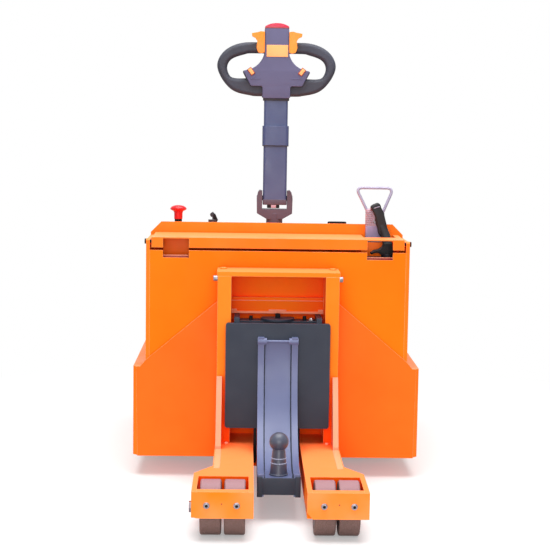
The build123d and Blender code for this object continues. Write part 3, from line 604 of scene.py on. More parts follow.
def wire(name: str, corners: Outline, bend: float, station: float, radius: float) -> bpy.types.Object:
    """Bends a round wire in a plane that faces the camera.

    Args:
        name: Name of the piece.
        corners: Its ends and corners as (x, z).
        bend: How far before and after a corner the bend reaches.
        station: Depth of the plane.
        radius: Radius of the wire.

    Returns:
        The finished wire.
    """
    places = [Vector((x, station, z)) for x, z in corners]
    path = [places[0]]
    for before, corner, after in zip(places, places[1:], places[2:]):
        first = corner + (before - corner).normalized() * bend
        last = corner + (after - corner).normalized() * bend
        for step in range(BEND_STEPS + 1):
            share = step / BEND_STEPS
            path.append(first * (1.0 - share) ** 2 + corner * 2.0 * share * (1.0 - share) + last * share ** 2)
    path.append(places[-1])
    bpy.ops.object.select_all(action="DESELECT")
    bpy.ops.curve.primitive_bezier_curve_add()
    piece = bpy.context.object
    piece.name = name
    curve = piece.data
    curve.splines.clear()
    run = curve.splines.new("POLY")
    run.points.add(len(path) - 1)
    for point, place in zip(run.points, path):
        point.co = (*place, 1.0)
    curve.bevel_depth = radius
    curve.bevel_resolution = WIRE_STEPS
    curve.use_fill_caps = True
    bpy.ops.object.convert(target="MESH")
    bpy.ops.object.shade_smooth_by_angle()
    return bpy.context.object


def plaque(name: str, centre: Vector, size: Size, corner: float, tilt: float = 0.0,
           rounding: float = FINE_EDGE) -> bpy.types.Object:
    """Makes a flat plate that faces the camera, with round corners.

    Args:
        name: Name of the piece.
        centre: Centre of the plate, in metres.
        size: Width, thickness and height.
        corner: Radius of its four corners.
        tilt: Turn in its own plane, in radians.
        rounding: Radius of its edges.

    Returns:
        The finished piece.
    """
    bpy.ops.object.select_all(action="DESELECT")
    bpy.ops.mesh.primitive_cube_add(size=1.0, scale=size)
    piece = start_piece(name)
    mesh = bmesh.from_edit_mesh(piece.data)
    for edge in mesh.edges:
        run = edge.verts[0].co - edge.verts[1].co
        edge.select_set(abs(run.y) > abs(run.x) + abs(run.z))
    mesh.select_flush_mode()
    bpy.ops.mesh.bevel(offset=corner, segments=CORNER_STEPS, affect="EDGES")
    bpy.ops.mesh.select_all(action="SELECT")
    end_piece(piece, rounding)
    piece.matrix_world = Matrix.Translation(centre) @ Matrix.Rotation(tilt, 4, "Y")
    bpy.ops.object.transform_apply(location=True, rotation=True, scale=True)
    return piece


def socket_bolt(name: str, place: Vector, towards: Vector, radius: float, height: float) -> bpy.types.Object:
    """Makes the chamfered head of a socket bolt, with its hole.

    Args:
        name: Name of the piece.
        place: Centre of the face it stands on.
        towards: Direction of its head.
        radius: Radius of the head.
        height: Height of the head.

    Returns:
        The finished piece.
    """
    bpy.ops.object.select_all(action="DESELECT")
    bpy.ops.mesh.primitive_circle_add(vertices=BOLT_SIDES, radius=radius, fill_type="NGON")
    piece = start_piece(name)
    for share in (1.0 - CHAMFER_HEIGHT, CHAMFER_HEIGHT):
        bpy.ops.mesh.extrude_region_move(TRANSFORM_OT_translate={"value": (0.0, 0.0, height * share)})
    bpy.ops.transform.resize(value=(CHAMFER_TOP, CHAMFER_TOP, 1.0), center_override=(0.0, 0.0, height))
    bpy.ops.mesh.inset(thickness=radius * SOCKET_WALL)
    bpy.ops.mesh.extrude_region_move(TRANSFORM_OT_translate={"value": (0.0, 0.0, -height * SOCKET_DEPTH)})
    end_piece(piece)
    place_piece(piece, place, towards)
    return piece


def mirrored(outline: Outline) -> Outline:
    """Completes a half outline with its left half."""
    return (*outline, *((-x, z) for x, z in reversed(outline)))


def arc(start: Span, middle: Span, end: Span, steps: int) -> Outline:
    """Gives points along the circle through three points.

    Args:
        start: First point.
        middle: A point on the way.
        end: Last point.
        steps: Number of stretches from the first point to the last.

    Returns:
        The points, both ends among them.
    """
    first, between, last = (complex(*point) for point in (start, middle, end))
    ratio = (last - first) / (between - first)
    centre = first + (between - first) * (ratio - abs(ratio) ** 2) / (2j * ratio.imag)
    sweep = phase((last - centre) / (first - centre))
    points = [centre + (first - centre) * rect(1.0, sweep * step / steps) for step in range(steps + 1)]
    return tuple((point.real, point.imag) for point in points)


def chamfered(radius: float, height: float, inset: float, drop: float) -> Outline:
    """Gives the profile of a disc with a chamfered upper edge.

    Args:
        radius: Radius of the disc.
        height: Its height.
        inset: Width of the chamfer.
        drop: Height of the chamfer.

    Returns:
        Radius and height of each ring.
    """
    return (radius, 0.0), (radius, height - drop), (radius - inset, height)


def about(middle: float, half: float) -> Span:
    """Gives the stretch that reaches equally far to both sides of a middle."""
    return middle - half, middle + half


def beside(side: float, inner: float, outer: float) -> Span:
    """Gives the stretch of X between two distances on one side of the machine."""
    low, high = sorted((side * inner, side * outer))
    return low, high


def lowest(node: str) -> Vector:
    """Gives the lowest corner of a CAD node's box."""
    return Vector([min(axis) for axis in zip(*map(tuple, frame["nodes"][node].bound_box))])


def highest(node: str) -> Vector:
    """Gives the highest corner of a CAD node's box."""
    return Vector([max(axis) for axis in zip(*map(tuple, frame["nodes"][node].bound_box))])


def middle_y(node: str) -> float:
    """Gives the station of a CAD node's middle."""
    return (lowest(node).y + highest(node).y) / 2


# Right halves of outlines that face the camera, in order from the foot, as (x, z) in metres.
HEAD_SIDE: Outline = (
    (0.0385, 1.0470), (0.0430, 1.0515), (0.0430, 1.0805), (0.0465, 1.0840), (0.0770, 1.0840),
    (0.0805, 1.0862), (0.1005, 1.1255), (0.1012, 1.1290), (0.0990, 1.1315),
    *arc((0.0905, 1.1332), (0.0619, 1.1460), (0.0385, 1.1800), 7),
    (0.0375, 1.1900), (0.0368, 1.2580), (0.0345, 1.2632), (0.0300, 1.2640),
)
BUTTON_SIDE: Outline = ((0.0368, 1.2630), *arc((0.0370, 1.2668), (0.0200, 1.2745), (0.0040, 1.2769), 5))

# Whole outlines of the two covers on the cable, and the ends and corners of the pull handle.
CABLE_HOOD: Outline = (
    (0.2629, 0.7423), (0.2709, 0.7479), (0.2845, 0.7531), (0.2902, 0.7479), (0.2918, 0.7407),
    (0.2990, 0.7286), (0.3030, 0.7126), (0.3078, 0.6949), (0.3159, 0.6588), (0.2918, 0.6588),
    (0.2861, 0.6676), (0.2837, 0.6837), (0.2773, 0.7126), (0.2717, 0.7254), (0.2665, 0.7330),
)
TERMINAL_HOOD: Outline = (
    (0.2950, 0.6435), (0.3191, 0.6435), (0.3207, 0.6323), (0.3240, 0.6210), (0.3228, 0.6114),
    (0.3143, 0.6058), (0.3014, 0.6050), (0.2902, 0.6082), (0.2821, 0.6146), (0.2693, 0.6138),
    (0.2612, 0.6098), (0.2596, 0.6146), (0.2693, 0.6210), (0.2837, 0.6243), (0.2918, 0.6307),
    (0.2950, 0.6371),
)
HANDLE_CORNERS: Outline = ((0.2555, 0.7240), (0.2205, 0.7925), (0.3268, 0.7925), (0.2985, 0.7240))


@dataclass
class Dressing:
    """Pieces added to one moving body.

    Attributes:
        body: Body that the pieces ride on.
        shop: Where the finishes come from.
    """

    body: ClassVar[Body] = Body.CHASSIS
    shop: Paintshop

    def dress(self, piece: bpy.types.Object, finish: str, slot: str) -> None:
        """Finishes a piece and hangs it on the body.

        Args:
            piece: The piece, in place.
            finish: Name of its finish.
            slot: Slot of the record that it belongs to; not used.
        """
        self.shop.paint(piece, finish)
        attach(piece, self.body.value)
        LOG.info("%s: %s, rides on %s", piece.name, finish, self.body.value)

    def build(self) -> None:
        """Models the pieces."""
        raise NotImplementedError


@dataclass
class HeadShell(Dressing):
    """The tiller's moulded head: a front shell on a slightly wider dark rear shell, and the button on top.

    Attributes:
        front_y: Station of the front face.
        split_y: Station where the two shells meet.
        rear_y: Station of the rear face.
        lap: How far one piece reaches into the next.
        rear_spread: How much wider the rear shell is.
        front_edge: Radius of the front shell's edges.
        rear_edge: Radius of the rear shell's edges.
        button_rear: Station of the button's rear.
        button_edge: Radius of the button's edges.
        seam_half: Half the width of the seam under the button.
        seam_y: Front and rear of the seam.
        seam_z: Foot and top of the seam.
        seam_edge: Radius of the seam's edges.
    """

    body: ClassVar[Body] = Body.TILLER
    front_y: float = lowest("tiller_head").y
    split_y: float = 0.503
    rear_y: float = highest("tiller_head").y
    lap: float = 0.001
    rear_spread: float = 1.03
    front_edge: float = 0.0032
    rear_edge: float = 0.0045
    button_rear: float = 0.528
    button_edge: float = 0.0012
    seam_half: float = 0.0374
    seam_y: Span = (0.4796, 0.530)
    seam_z: Span = (1.2608, 1.2636)
    seam_edge: float = 0.0006

    def build(self) -> None:
        """Models both shells, the button and its seam."""
        outline = mirrored(HEAD_SIDE)
        front = cut_out("head_front", outline, (self.front_y, self.split_y), self.front_edge)
        self.dress(front, "head_shell", "dark_plastic")
        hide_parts("tiller_head")
        wider = tuple((x * self.rear_spread, z) for x, z in outline)
        rear = cut_out("head_rear", wider, (self.split_y - self.lap, self.rear_y), self.rear_edge)
        self.dress(rear, "grip_rubber", "dark_plastic")
        button = cut_out("crown_button", mirrored(BUTTON_SIDE), (self.front_y + self.lap, self.button_rear),
                         self.button_edge)
        self.dress(button, "crimson_plastic", "crimson_plastic")
        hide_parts("tiller_button")
        seam = slab("button_seam", about(0.0, self.seam_half), self.seam_y, self.seam_z, self.seam_edge)
        self.dress(seam, "label_rim", "dark_plastic")


@dataclass
class HeadDress(Dressing):
    """Label and thumb buttons of the tiller's head, the seal under its button, dark bands painted as the
    shadows under the head and under the sleeve, and the links at the arm's foot.

    Attributes:
        face_y: Station of the head's front face.
        arm_y: Station of the arm's middle.
        label_x: Place of the label's centre.
        label_z: Height of the label's centre.
        label_size: Width, thickness and height of the label.
        label_corner: Radius of the label's corners.
        thumb_x: Distance of the thumb buttons from the middle.
        thumb_z: Height of the thumb buttons.
        thumb_size: Width, thickness and length of a thumb button.
        thumb_corner: Radius of a thumb button's corners.
        thumb_tilt: Lean of the thumb buttons, in degrees.
        rim_size: Width, thickness and length of the rim round a thumb button.
        rim_corner: Radius of that rim's corners.
        bands: Name, foot, top, half width and half depth of each band round the arm.
        band_edge: Radius of the edges of bands and links.
        links: Name, left side, right side and finish of each link in the yoke.
        link_reach: How far the links reach before and behind the arm's middle.
        link_z: Foot and top of the links.
        root_half: Half width and half depth of the arm's root.
        root_z: Foot and top of the root.
        root_edge: Radius of the root's edges.
        ridge_x: Where the ridge of a wing starts and ends, from the middle.
        ridge_reach: How far the ridge stands out of the face and reaches into it.
        ridge_z: Foot and top of the ridge.
        ridge_edge: Radius of the ridge's edges.
    """

    body: ClassVar[Body] = Body.TILLER
    face_y: float = lowest("tiller_head").y
    arm_y: float = middle_y("tiller_arm")
    label_x: float = 0.0015
    label_z: float = 1.192
    label_size: Size = (0.066, 0.002, 0.036)
    label_corner: float = 0.004
    thumb_x: float = 0.0785
    thumb_z: float = 1.1285
    thumb_size: Size = (0.0105, 0.006, 0.0195)
    thumb_corner: float = 0.002
    thumb_tilt: float = 36.0
    rim_size: Size = (0.0145, 0.003, 0.0235)
    rim_corner: float = 0.003
    bands: tuple[tuple[str, float, float, float, float], ...] = (
        ("button_seal", 1.2625, 1.2655, 0.0370, 0.0222),
        # Painted shadow: the next two dark bands stand for the shadow lines under the head and under the
        # sleeve's lip.
        ("head_shadow_band", 1.0400, 1.0475, 0.0405, 0.0236),
        ("sleeve_shadow_band", 0.8990, 0.9020, 0.0408, 0.0238),
    )
    band_edge: float = 0.0012
    links: tuple[tuple[str, float, float, str], ...] = (
        ("link_left", -0.0235, -0.0115, "black_paint"),
        ("link_core", -0.0115, 0.0045, "connector_plastic"),
        ("link_right", 0.0045, 0.0150, "black_paint"),
    )
    link_reach: Span = (0.0200, 0.0080)
    link_z: Span = (0.7065, 0.7170)
    root_half: Span = (0.0374, 0.0206)
    root_z: Span = (0.7165, 0.7340)
    root_edge: float = 0.0020
    ridge_x: Span = (0.048, 0.079)
    ridge_reach: Span = (0.0012, 0.0020)
    ridge_z: Span = (1.1055, 1.1075)
    ridge_edge: float = 0.0006

    def build(self) -> None:
        """Models the dressing from the label down to the arm's root, and then the ridges."""
        place = Vector((self.label_x, self.face_y, self.label_z))
        label = plaque("head_label", place, self.label_size, self.label_corner)
        self.dress(label, "label_film", "dark_plastic")
        self.thumb_buttons()
        for name, foot, top, half_width, half_depth in self.bands:
            along = about(self.arm_y, half_depth)
            band = slab(name, about(0.0, half_width), along, (foot, top), self.band_edge)
            self.dress(band, "dark_plastic", "dark_plastic")
        link_y = (self.arm_y - self.link_reach[0], self.arm_y + self.link_reach[1])
        for name, left, right, finish in self.links:
            link = slab(name, (left, right), link_y, self.link_z, self.band_edge)
            self.dress(link, finish, "dark_plastic")
        half_width, half_depth = self.root_half
        along = about(self.arm_y, half_depth)
        root = slab("arm_root", about(0.0, half_width), along, self.root_z, self.root_edge)
        self.dress(root, "yoke_iron", "blue_grey_paint")
        self.ridges()

    def thumb_buttons(self) -> None:
        """Models the two leaning thumb buttons in their rims."""
        for side, word in SIDES:
            centre = Vector((side * self.thumb_x, self.face_y, self.thumb_z))
            tilt = side * radians(self.thumb_tilt)
            rim = plaque(f"thumb_rim_{word}", centre, self.rim_size, self.rim_corner, tilt)
            self.dress(rim, "label_rim", "dark_plastic")
            key = plaque(f"thumb_button_{word}", centre, self.thumb_size, self.thumb_corner, tilt)
            self.dress(key, "label_film", "dark_plastic")

    def ridges(self) -> None:
        """Models the moulded ridges of the two wings."""
        ridge_y = (self.face_y - self.ridge_reach[0], self.face_y + self.ridge_reach[1])
        for side, word in SIDES:
            across = beside(side, *self.ridge_x)
            ridge = slab(f"wing_ridge_{word}", across, ridge_y, self.ridge_z, self.ridge_edge)
            self.dress(ridge, "head_shell", "dark_plastic")


@dataclass
class HoodControls(Dressing):
    """Emergency stop with its collar, key and bezel of the gauge, on the sloping hood.

    Attributes:
        edge_y: Station of the hood's front edge.
        edge_z: Height of that edge.
        slope: Fall of the hood, in degrees.
        row_y: Station of the row of controls.
        stop_x: Place of the emergency stop.
        collar_side: Profile of the stop's collar.
        knob_side: Profile of the stop's mushroom knob.
        gauge_x: Place of the gauge.
        bezel_side: Profile of the gauge's bezel.
        key_x: Place of the key.
        bow_side: Profile of the key's bow.
        bow_shift: From the key's place to the bow.
        tag_size: Width, thickness and height of the tag.
        tag_corner: Radius of the tag's corners.
        tag_shift: From the key's place to the tag.
        tag_tilt: Lean of the tag, in degrees.
    """

    edge_y: float = lowest("hood").y
    edge_z: float = highest("hood").z
    slope: float = 4.5
    row_y: float = 0.185
    stop_x: float = -0.2850
    collar_side: Outline = chamfered(0.0106, 0.0095, 0.0008, 0.0010)
    knob_side: Outline = (
        (0.0120, 0.0080), (0.0122, 0.0260), (0.0140, 0.0310), (0.0210, 0.0345), (0.0236, 0.0365),
        (0.0236, 0.0390), (0.0210, 0.0430), (0.0140, 0.0468), (0.0060, 0.0484),
    )
    gauge_x: float = 0.176
    bezel_side: Outline = (
        (0.0275, 0.0), (0.0275, 0.0045), (0.0255, 0.0068), (0.0215, 0.0070), (0.0205, 0.0062),
    )
    key_x: float = -0.185
    bow_side: Outline = ((0.0062, 0.0), (0.0070, 0.0010), (0.0070, 0.0020), (0.0062, 0.0030))
    bow_shift: Size = (-0.001, 0.0, 0.0220)
    tag_size: Size = (0.011, 0.003, 0.021)
    tag_corner: float = 0.003
    tag_shift: Size = (0.0065, -0.005, 0.0135)
    tag_tilt: float = -24.0

    def spot(self, x: float) -> Vector:
        """Gives the point of the hood under a control."""
        return Vector((x, self.row_y, self.edge_z - (self.row_y - self.edge_y) * tan(radians(self.slope))))

    def build(self) -> None:
        """Models the emergency stop, the bezel and the key."""
        out = Vector((0.0, sin(radians(self.slope)), cos(radians(self.slope))))
        collar = turned("stop_collar", self.collar_side, self.spot(self.stop_x), out)
        self.dress(collar, "black_paint", "black_paint")
        knob = turned("stop_knob", self.knob_side, self.spot(self.stop_x), out)
        self.dress(knob, "red_plastic", "red_plastic")
        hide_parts("emergency_stop")
        bezel = turned("gauge_bezel", self.bezel_side, self.spot(self.gauge_x), out)
        self.dress(bezel, "black_paint", "black_paint")
        key = self.spot(self.key_x)
        bow = turned("key_bow", self.bow_side, key + Vector(self.bow_shift), TOWARDS_CAMERA)
        self.dress(bow, "dark_plastic", "dark_plastic")
        tag = plaque("key_tag", key + Vector(self.tag_shift), self.tag_size, self.tag_corner,
                     radians(self.tag_tilt))
        self.dress(tag, "black_paint", "zinc_steel")


@dataclass
class ConnectorDress(Dressing):
    """The battery connector's shell with its ribs, collar and rivet, and what ends in it.

    Attributes:
        x: Left and right side of the shell.
        y: Front and rear of the shell.
        z: Foot and top of the shell.
        edge: Radius of the shell's edges.
        proud: How far the collar stands out of the sides.
        collar_y: Front and rear of the collar.
        collar_z: Foot and top of the collar.
        rib_x: Left and right end of a rib.
        rib_y: Front and rear of a rib.
        rib_z: Foot and top of the lowest rib.
        rib_edge: Radius of a rib's edges.
        rib_pitch: Distance from rib to rib.
        rib_count: Number of moulded ribs.
        rivet_side: Profile of the rivet.
        rivet_place: Where the rivet sits.
    """

    x: Span = (lowest("power_plug").x, 0.296)
    y: Span = (0.053, 0.0905)
    z: Span = (0.641, 0.7335)
    edge: float = 0.003
    proud: float = 0.0006
    collar_y: Span = (0.0514, 0.075)
    collar_z: Span = (0.648, 0.6855)
    rib_x: Span = (0.2492, 0.266)
    rib_y: Span = (0.0518, 0.070)
    rib_z: Span = (0.6905, 0.6930)
    rib_edge: float = 0.0005
    rib_pitch: float = 0.0056
    rib_count: int = 7
    rivet_side: Outline = ((0.0048, 0.0), (0.0048, 0.0012), (0.0030, 0.0016), (0.0026, 0.0008))
    rivet_place: Size = (0.2735, 0.053, 0.6985)

    def build(self) -> None:
        """Models the connector's details."""
        wide = (self.x[0] - self.proud, self.x[1] + self.proud)
        collar = slab("plug_collar", wide, self.collar_y, self.collar_z)
        self.dress(collar, "collar_plastic", "connector_plastic")
        first = slab("plug_rib_0", self.rib_x, self.rib_y, self.rib_z, self.rib_edge)
        self.dress(first, "connector_plastic", "connector_plastic")
        for number in range(1, self.rib_count):
            rib = first.copy()
            rib.data = first.data.copy()
            rib.name = f"plug_rib_{number}"
            bpy.context.collection.objects.link(rib)
            rib.data.transform(Matrix.Translation((0.0, 0.0, number * self.rib_pitch)))
            self.dress(rib, "connector_plastic", "connector_plastic")
        CableEnd(self.shop).build()
        shell = slab("plug_shell", self.x, self.y, self.z, self.edge)
        self.dress(shell, "connector_plastic", "connector_plastic")
        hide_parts("power_plug")
        rivet = turned("plug_rivet", self.rivet_side, Vector(self.rivet_place), TOWARDS_CAMERA)
        self.dress(rivet, "zinc_steel", "zinc_steel")


@dataclass
class CableEnd(Dressing):
    """Hood and terminal cover on the cable, and the connector's pull handle.

    Attributes:
        hood_shift: How far left of its drawn outline the cable's hood sits.
        hood_y: Front and rear of the hood.
        hood_edge: Radius of the hood's edges.
        stripe_centre: Centre of the pale stripe on the hood.
        stripe_size: Width, thickness and height of the stripe.
        stripe_corner: Radius of the stripe's corners.
        stripe_tilt: Lean of the stripe, in degrees.
        tab_x: Left and right side of the red tab.
        tab_y: Front and rear of the tab.
        tab_z: Foot and top of the tab.
        cover_y: Front and rear of the terminal cover.
        cover_edge: Radius of the cover's edges.
        handle_bend: How far from a corner the handle starts to bend.
        handle_y: Station of the handle.
        handle_radius: Radius of the handle's wire.
    """

    hood_shift: float = 0.0035
    hood_y: Span = (0.0225, 0.0528)
    hood_edge: float = 0.0035
    stripe_centre: Size = (0.2755, 0.0218, 0.7405)
    stripe_size: Size = (0.0160, 0.002, 0.0018)
    stripe_corner: float = 0.0008
    stripe_tilt: float = -18.0
    tab_x: Span = (0.2610, 0.2700)
    tab_y: Span = (0.0500, 0.0620)
    tab_z: Span = (0.7300, 0.7395)
    cover_y: Span = (0.0015, 0.0330)
    cover_edge: float = 0.0040
    handle_bend: float = 0.0200
    handle_y: float = 0.0755
    handle_radius: float = 0.0042

    def build(self) -> None:
        """Covers the cable and bends the pull handle."""
        outline = tuple((x - self.hood_shift, z) for x, z in CABLE_HOOD)
        hood = cut_out("cable_hood", outline, self.hood_y, self.hood_edge)
        self.dress(hood, "cable_rubber", "cable_rubber")
        stripe = plaque("hood_stripe", Vector(self.stripe_centre), self.stripe_size, self.stripe_corner,
                        radians(self.stripe_tilt), 0.0)
        self.dress(stripe, "handle_paint", "cable_rubber")
        tab = slab("plug_tab", self.tab_x, self.tab_y, self.tab_z)
        self.dress(tab, "label_rim", "red_plastic")
        cover = cut_out("terminal_hood", TERMINAL_HOOD, self.cover_y, self.cover_edge)
        self.dress(cover, "cable_rubber", "cable_rubber")
        handle = wire("plug_bail", HANDLE_CORNERS, self.handle_bend, self.handle_y, self.handle_radius)
        self.dress(handle, "handle_paint", "connector_plastic")
        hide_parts("plug_handle")


@dataclass
class MastDress(Dressing):
    """Bolts, pads and shelf of the mast, bands on the legs, and plates in the two windows beside it.

    Attributes:
        side_x: Outer face of the posts.
        side_spot: Station and height of the bolt in a post.
        side_bolt: Radius and height of that bolt.
        beam_top: Height of the beam's top.
        pad_spot: Distance from the middle and station of a pad on the beam.
        pad_side: Profile of a pad.
        foot_spot: Distance from the middle, station and height of a foot bolt.
        foot_bolt: Radius and height of that bolt.
        band_x: Where a leg's pale band, a painted highlight along the leg's top, starts and ends, from the
            middle.
        band_y: Front and rear of the band.
        band_z: Foot and top of the band.
        shelf_half: Half the width between the posts.
        shelf_y: Front and rear of the shelf.
        shelf_z: Height of the shelf's top.
        shelf_thickness: Its thickness, and the height of its corner stops.
        stop_width: Width of a corner stop.
        stop_y: Front and rear of the stops.
        middle_half: Half the width of the middle stop.
        middle_height: Height of the middle stop.
        line_y: Front and rear of the pale line in the recess, a painted highlight along an edge there.
        line_z: Foot and top of that line.
        line_edge: Radius of the line's edges, and of the window plates'.
        band_edge: Radius of a band's edges.
        windows: Name, width, station of the back plate and height of its top for each window.
        back_foot: Foot of a window's back plate.
        back_thickness: Thickness of that plate.
        sill_y: Front and rear of a window's sill.
        sill_z: Foot and top of the sill.
        lip_y: Front and rear of the lip on the sill.
        lip_z: Foot and top of the lip.
    """

    side_x: float = highest("mast_posts").x
    side_spot: Span = (-0.150, 0.556)
    side_bolt: Span = (0.0078, 0.0125)
    beam_top: float = highest("mast_beam").z
    pad_spot: Span = (0.147, -0.125)
    pad_side: Outline = ((0.0095, 0.0), (0.0095, 0.0022), (0.0075, 0.0040), (0.0040, 0.0042))
    foot_spot: Size = (0.1335, -0.216, 0.121)
    foot_bolt: Span = (0.0042, 0.004)
    band_x: Span = (0.1455, 0.1605)
    band_y: Span = (-0.478, -0.2805)
    band_z: Span = (0.1205, 0.1218)
    shelf_half: float = 0.1245
    shelf_y: Span = (-0.1052, -0.0905)
    shelf_z: float = lowest("mast_crossmember").z
    shelf_thickness: float = 0.006
    stop_width: float = 0.014
    stop_y: Span = (-0.1052, -0.1022)
    middle_half: float = 0.024
    middle_height: float = 0.005
    line_y: Span = (-0.1036, -0.1010)
    line_z: Span = (0.4905, 0.4922)
    line_edge: float = 0.0004
    band_edge: float = 0.0003
    windows: tuple[tuple[str, Span, float, float], ...] = (
        ("left", (-0.3150, -0.2440), -0.0300, 0.6530),
        ("right", (0.2380, 0.3160), 0.0513, 0.6400),
    )
    back_foot: float = 0.6005
    back_thickness: float = 0.0015
    sill_y: Span = (-0.0768, -0.0742)
    sill_z: Span = (0.5900, 0.6080)
    lip_y: Span = (-0.0770, -0.0740)
    lip_z: Span = (0.6080, 0.6100)

    def build(self) -> None:
        """Models both sides, the shelf with its line, the windows and the shelf's middle stop."""
        for side, word in SIDES:
            self.side_details(side, word)
        across = about(0.0, self.shelf_half)
        # Shelf, line and stops are peach: painted highlight where the orange catches the light.
        shelf = slab("mast_shelf", across, self.shelf_y, (self.shelf_z - self.shelf_thickness, self.shelf_z))
        self.dress(shelf, "painted_highlight_orange", "orange_paint")
        line = slab("recess_highlight_line", across, self.line_y, self.line_z, self.line_edge)
        self.dress(line, "painted_highlight_orange", "orange_paint")
        self.window_plates()
        middle = slab("shelf_middle", about(0.0, self.middle_half), self.stop_y,
                      (self.shelf_z, self.shelf_z + self.middle_height))
        self.dress(middle, "painted_highlight_orange", "orange_paint")

    def side_details(self, side: float, word: str) -> None:
        """Models the bolts, pad, band and corner stop of one side.

        Args:
            side: -1 on the left, 1 on the right.
            word: Name of the side.
        """
        bolt = socket_bolt(f"mast_bolt_{word}", Vector((side * self.side_x, *self.side_spot)),
                           Vector((side, 0.0, 0.0)), *self.side_bolt)
        self.dress(bolt, "zinc_steel", "zinc_steel")
        pad_x, pad_y = self.pad_spot
        pad = turned(f"beam_pad_{word}", self.pad_side, Vector((side * pad_x, pad_y, self.beam_top)), UP)
        self.dress(pad, "orange_paint", "orange_paint")
        # Foot bolt and band are peach: painted highlight on the leg's top.
        foot_x, foot_y, foot_z = self.foot_spot
        foot = socket_bolt(f"foot_bolt_{word}", Vector((side * foot_x, foot_y, foot_z)), UP, *self.foot_bolt)
        self.dress(foot, "painted_highlight_orange", "orange_paint")
        band = slab(f"leg_highlight_band_{word}", beside(side, *self.band_x), self.band_y, self.band_z, self.band_edge)
        self.dress(band, "painted_highlight_orange", "orange_paint")
        across = beside(side, self.shelf_half - self.stop_width, self.shelf_half)
        corner = slab(f"shelf_corner_{word}", across, self.stop_y,
                      (self.shelf_z, self.shelf_z + self.shelf_thickness))
        self.dress(corner, "painted_highlight_orange", "orange_paint")

    def window_plates(self) -> None:
        """Models the back, sill and lip that show through each window."""
        for word, across, back_y, back_top in self.windows:
            # Through each window the back is the darker, shaded copy of the orange, and the lip's peach is a
            # painted highlight on the ledge.
            back = slab(f"window_back_{word}", across, (back_y, back_y + self.back_thickness),
                        (self.back_foot, back_top), self.line_edge)
            self.dress(back, "shaded_wing_orange", "orange_paint")
            sill = slab(f"window_sill_{word}", across, self.sill_y, self.sill_z, self.line_edge)
            self.dress(sill, "label_rim", "battery_case")
            lip = slab(f"window_lip_{word}", across, self.lip_y, self.lip_z, self.line_edge)
            self.dress(lip, "painted_highlight_orange", "battery_case")


@dataclass
class CarriageDress(Dressing):
    """Screws, lift rod and hydraulic fitting of the lift carriage, and black strips painted as the shadow
    between the arm and the legs.

    Attributes:
        top_z: Height of the crosshead's top.
        lift_y: Station of the lift cylinder.
        lift_foot: Height of the rod's foot.
        screw_x: Distance of the two screws from the middle.
        screw_size: Radius and height of a screw's head.
        strip_x: Inner and outer side of a black shadow strip, from the middle.
        strip_y: Front and rear of the shadow strips.
        strip_z: Foot and top of the shadow strips.
        rod_side: Profile of the lift rod.
        nut_side: Profile of the nut on the rod.
        nut_z: Height of the nut's foot.
        fitting_side: Profile of the grease fitting.
        fitting_x: Place of the fitting.
        fitting_ahead: How far the fitting is in front of the lift cylinder.
    """

    body: ClassVar[Body] = Body.CARRIAGE
    top_z: float = highest("carriage_plate").z
    lift_y: float = middle_y("lift_rod")
    lift_foot: float = lowest("lift_rod").z
    screw_x: float = 0.072
    screw_size: Span = (0.0050, 0.011)
    strip_x: Span = (0.0535, 0.0612)
    strip_y: Span = (-0.217, -0.2065)
    strip_z: Span = (0.070, 0.168)
    rod_side: Outline = chamfered(0.0150, 0.3060, 0.0050, 0.0030)
    nut_side: Outline = chamfered(0.0078, 0.0114, 0.0010, 0.0014)
    nut_z: float = 0.4508
    fitting_side: Outline = (
        (0.0092, 0.0), (0.0092, 0.0035), (0.0064, 0.0045), (0.0064, 0.0075), (0.0042, 0.0090),
    )
    fitting_x: float = 0.0905
    fitting_ahead: float = 0.010

    def build(self) -> None:
        """Models the carriage's details."""
        for side, word in SIDES:
            place = Vector((side * self.screw_x, self.lift_y, self.top_z))
            screw = socket_bolt(f"crosshead_screw_{word}", place, UP, *self.screw_size)
            self.dress(screw, "black_paint", "zinc_steel")
            # Painted shadow: a black strip where the gap between the arm and the leg lies in shade.
            strip = slab(f"painted_shadow_strip_{word}", beside(side, *self.strip_x), self.strip_y, self.strip_z)
            self.dress(strip, "black_paint", "slate_paint")
        spindle = turned("lift_spindle", self.rod_side, Vector((0.0, self.lift_y, self.lift_foot)), UP)
        self.dress(spindle, "chrome_rod", "chrome_rod")
        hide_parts("lift_rod")
        nut = turned("lift_nut", self.nut_side, Vector((0.0, self.lift_y, self.nut_z)), UP, sides=HEXAGON)
        self.dress(nut, "black_paint", "black_paint")
        spot = Vector((self.fitting_x, self.lift_y - self.fitting_ahead, self.top_z))
        fitting = turned("grease_fitting", self.fitting_side, spot, UP, sides=HEXAGON)
        self.dress(fitting, "chrome_rod", "zinc_steel")


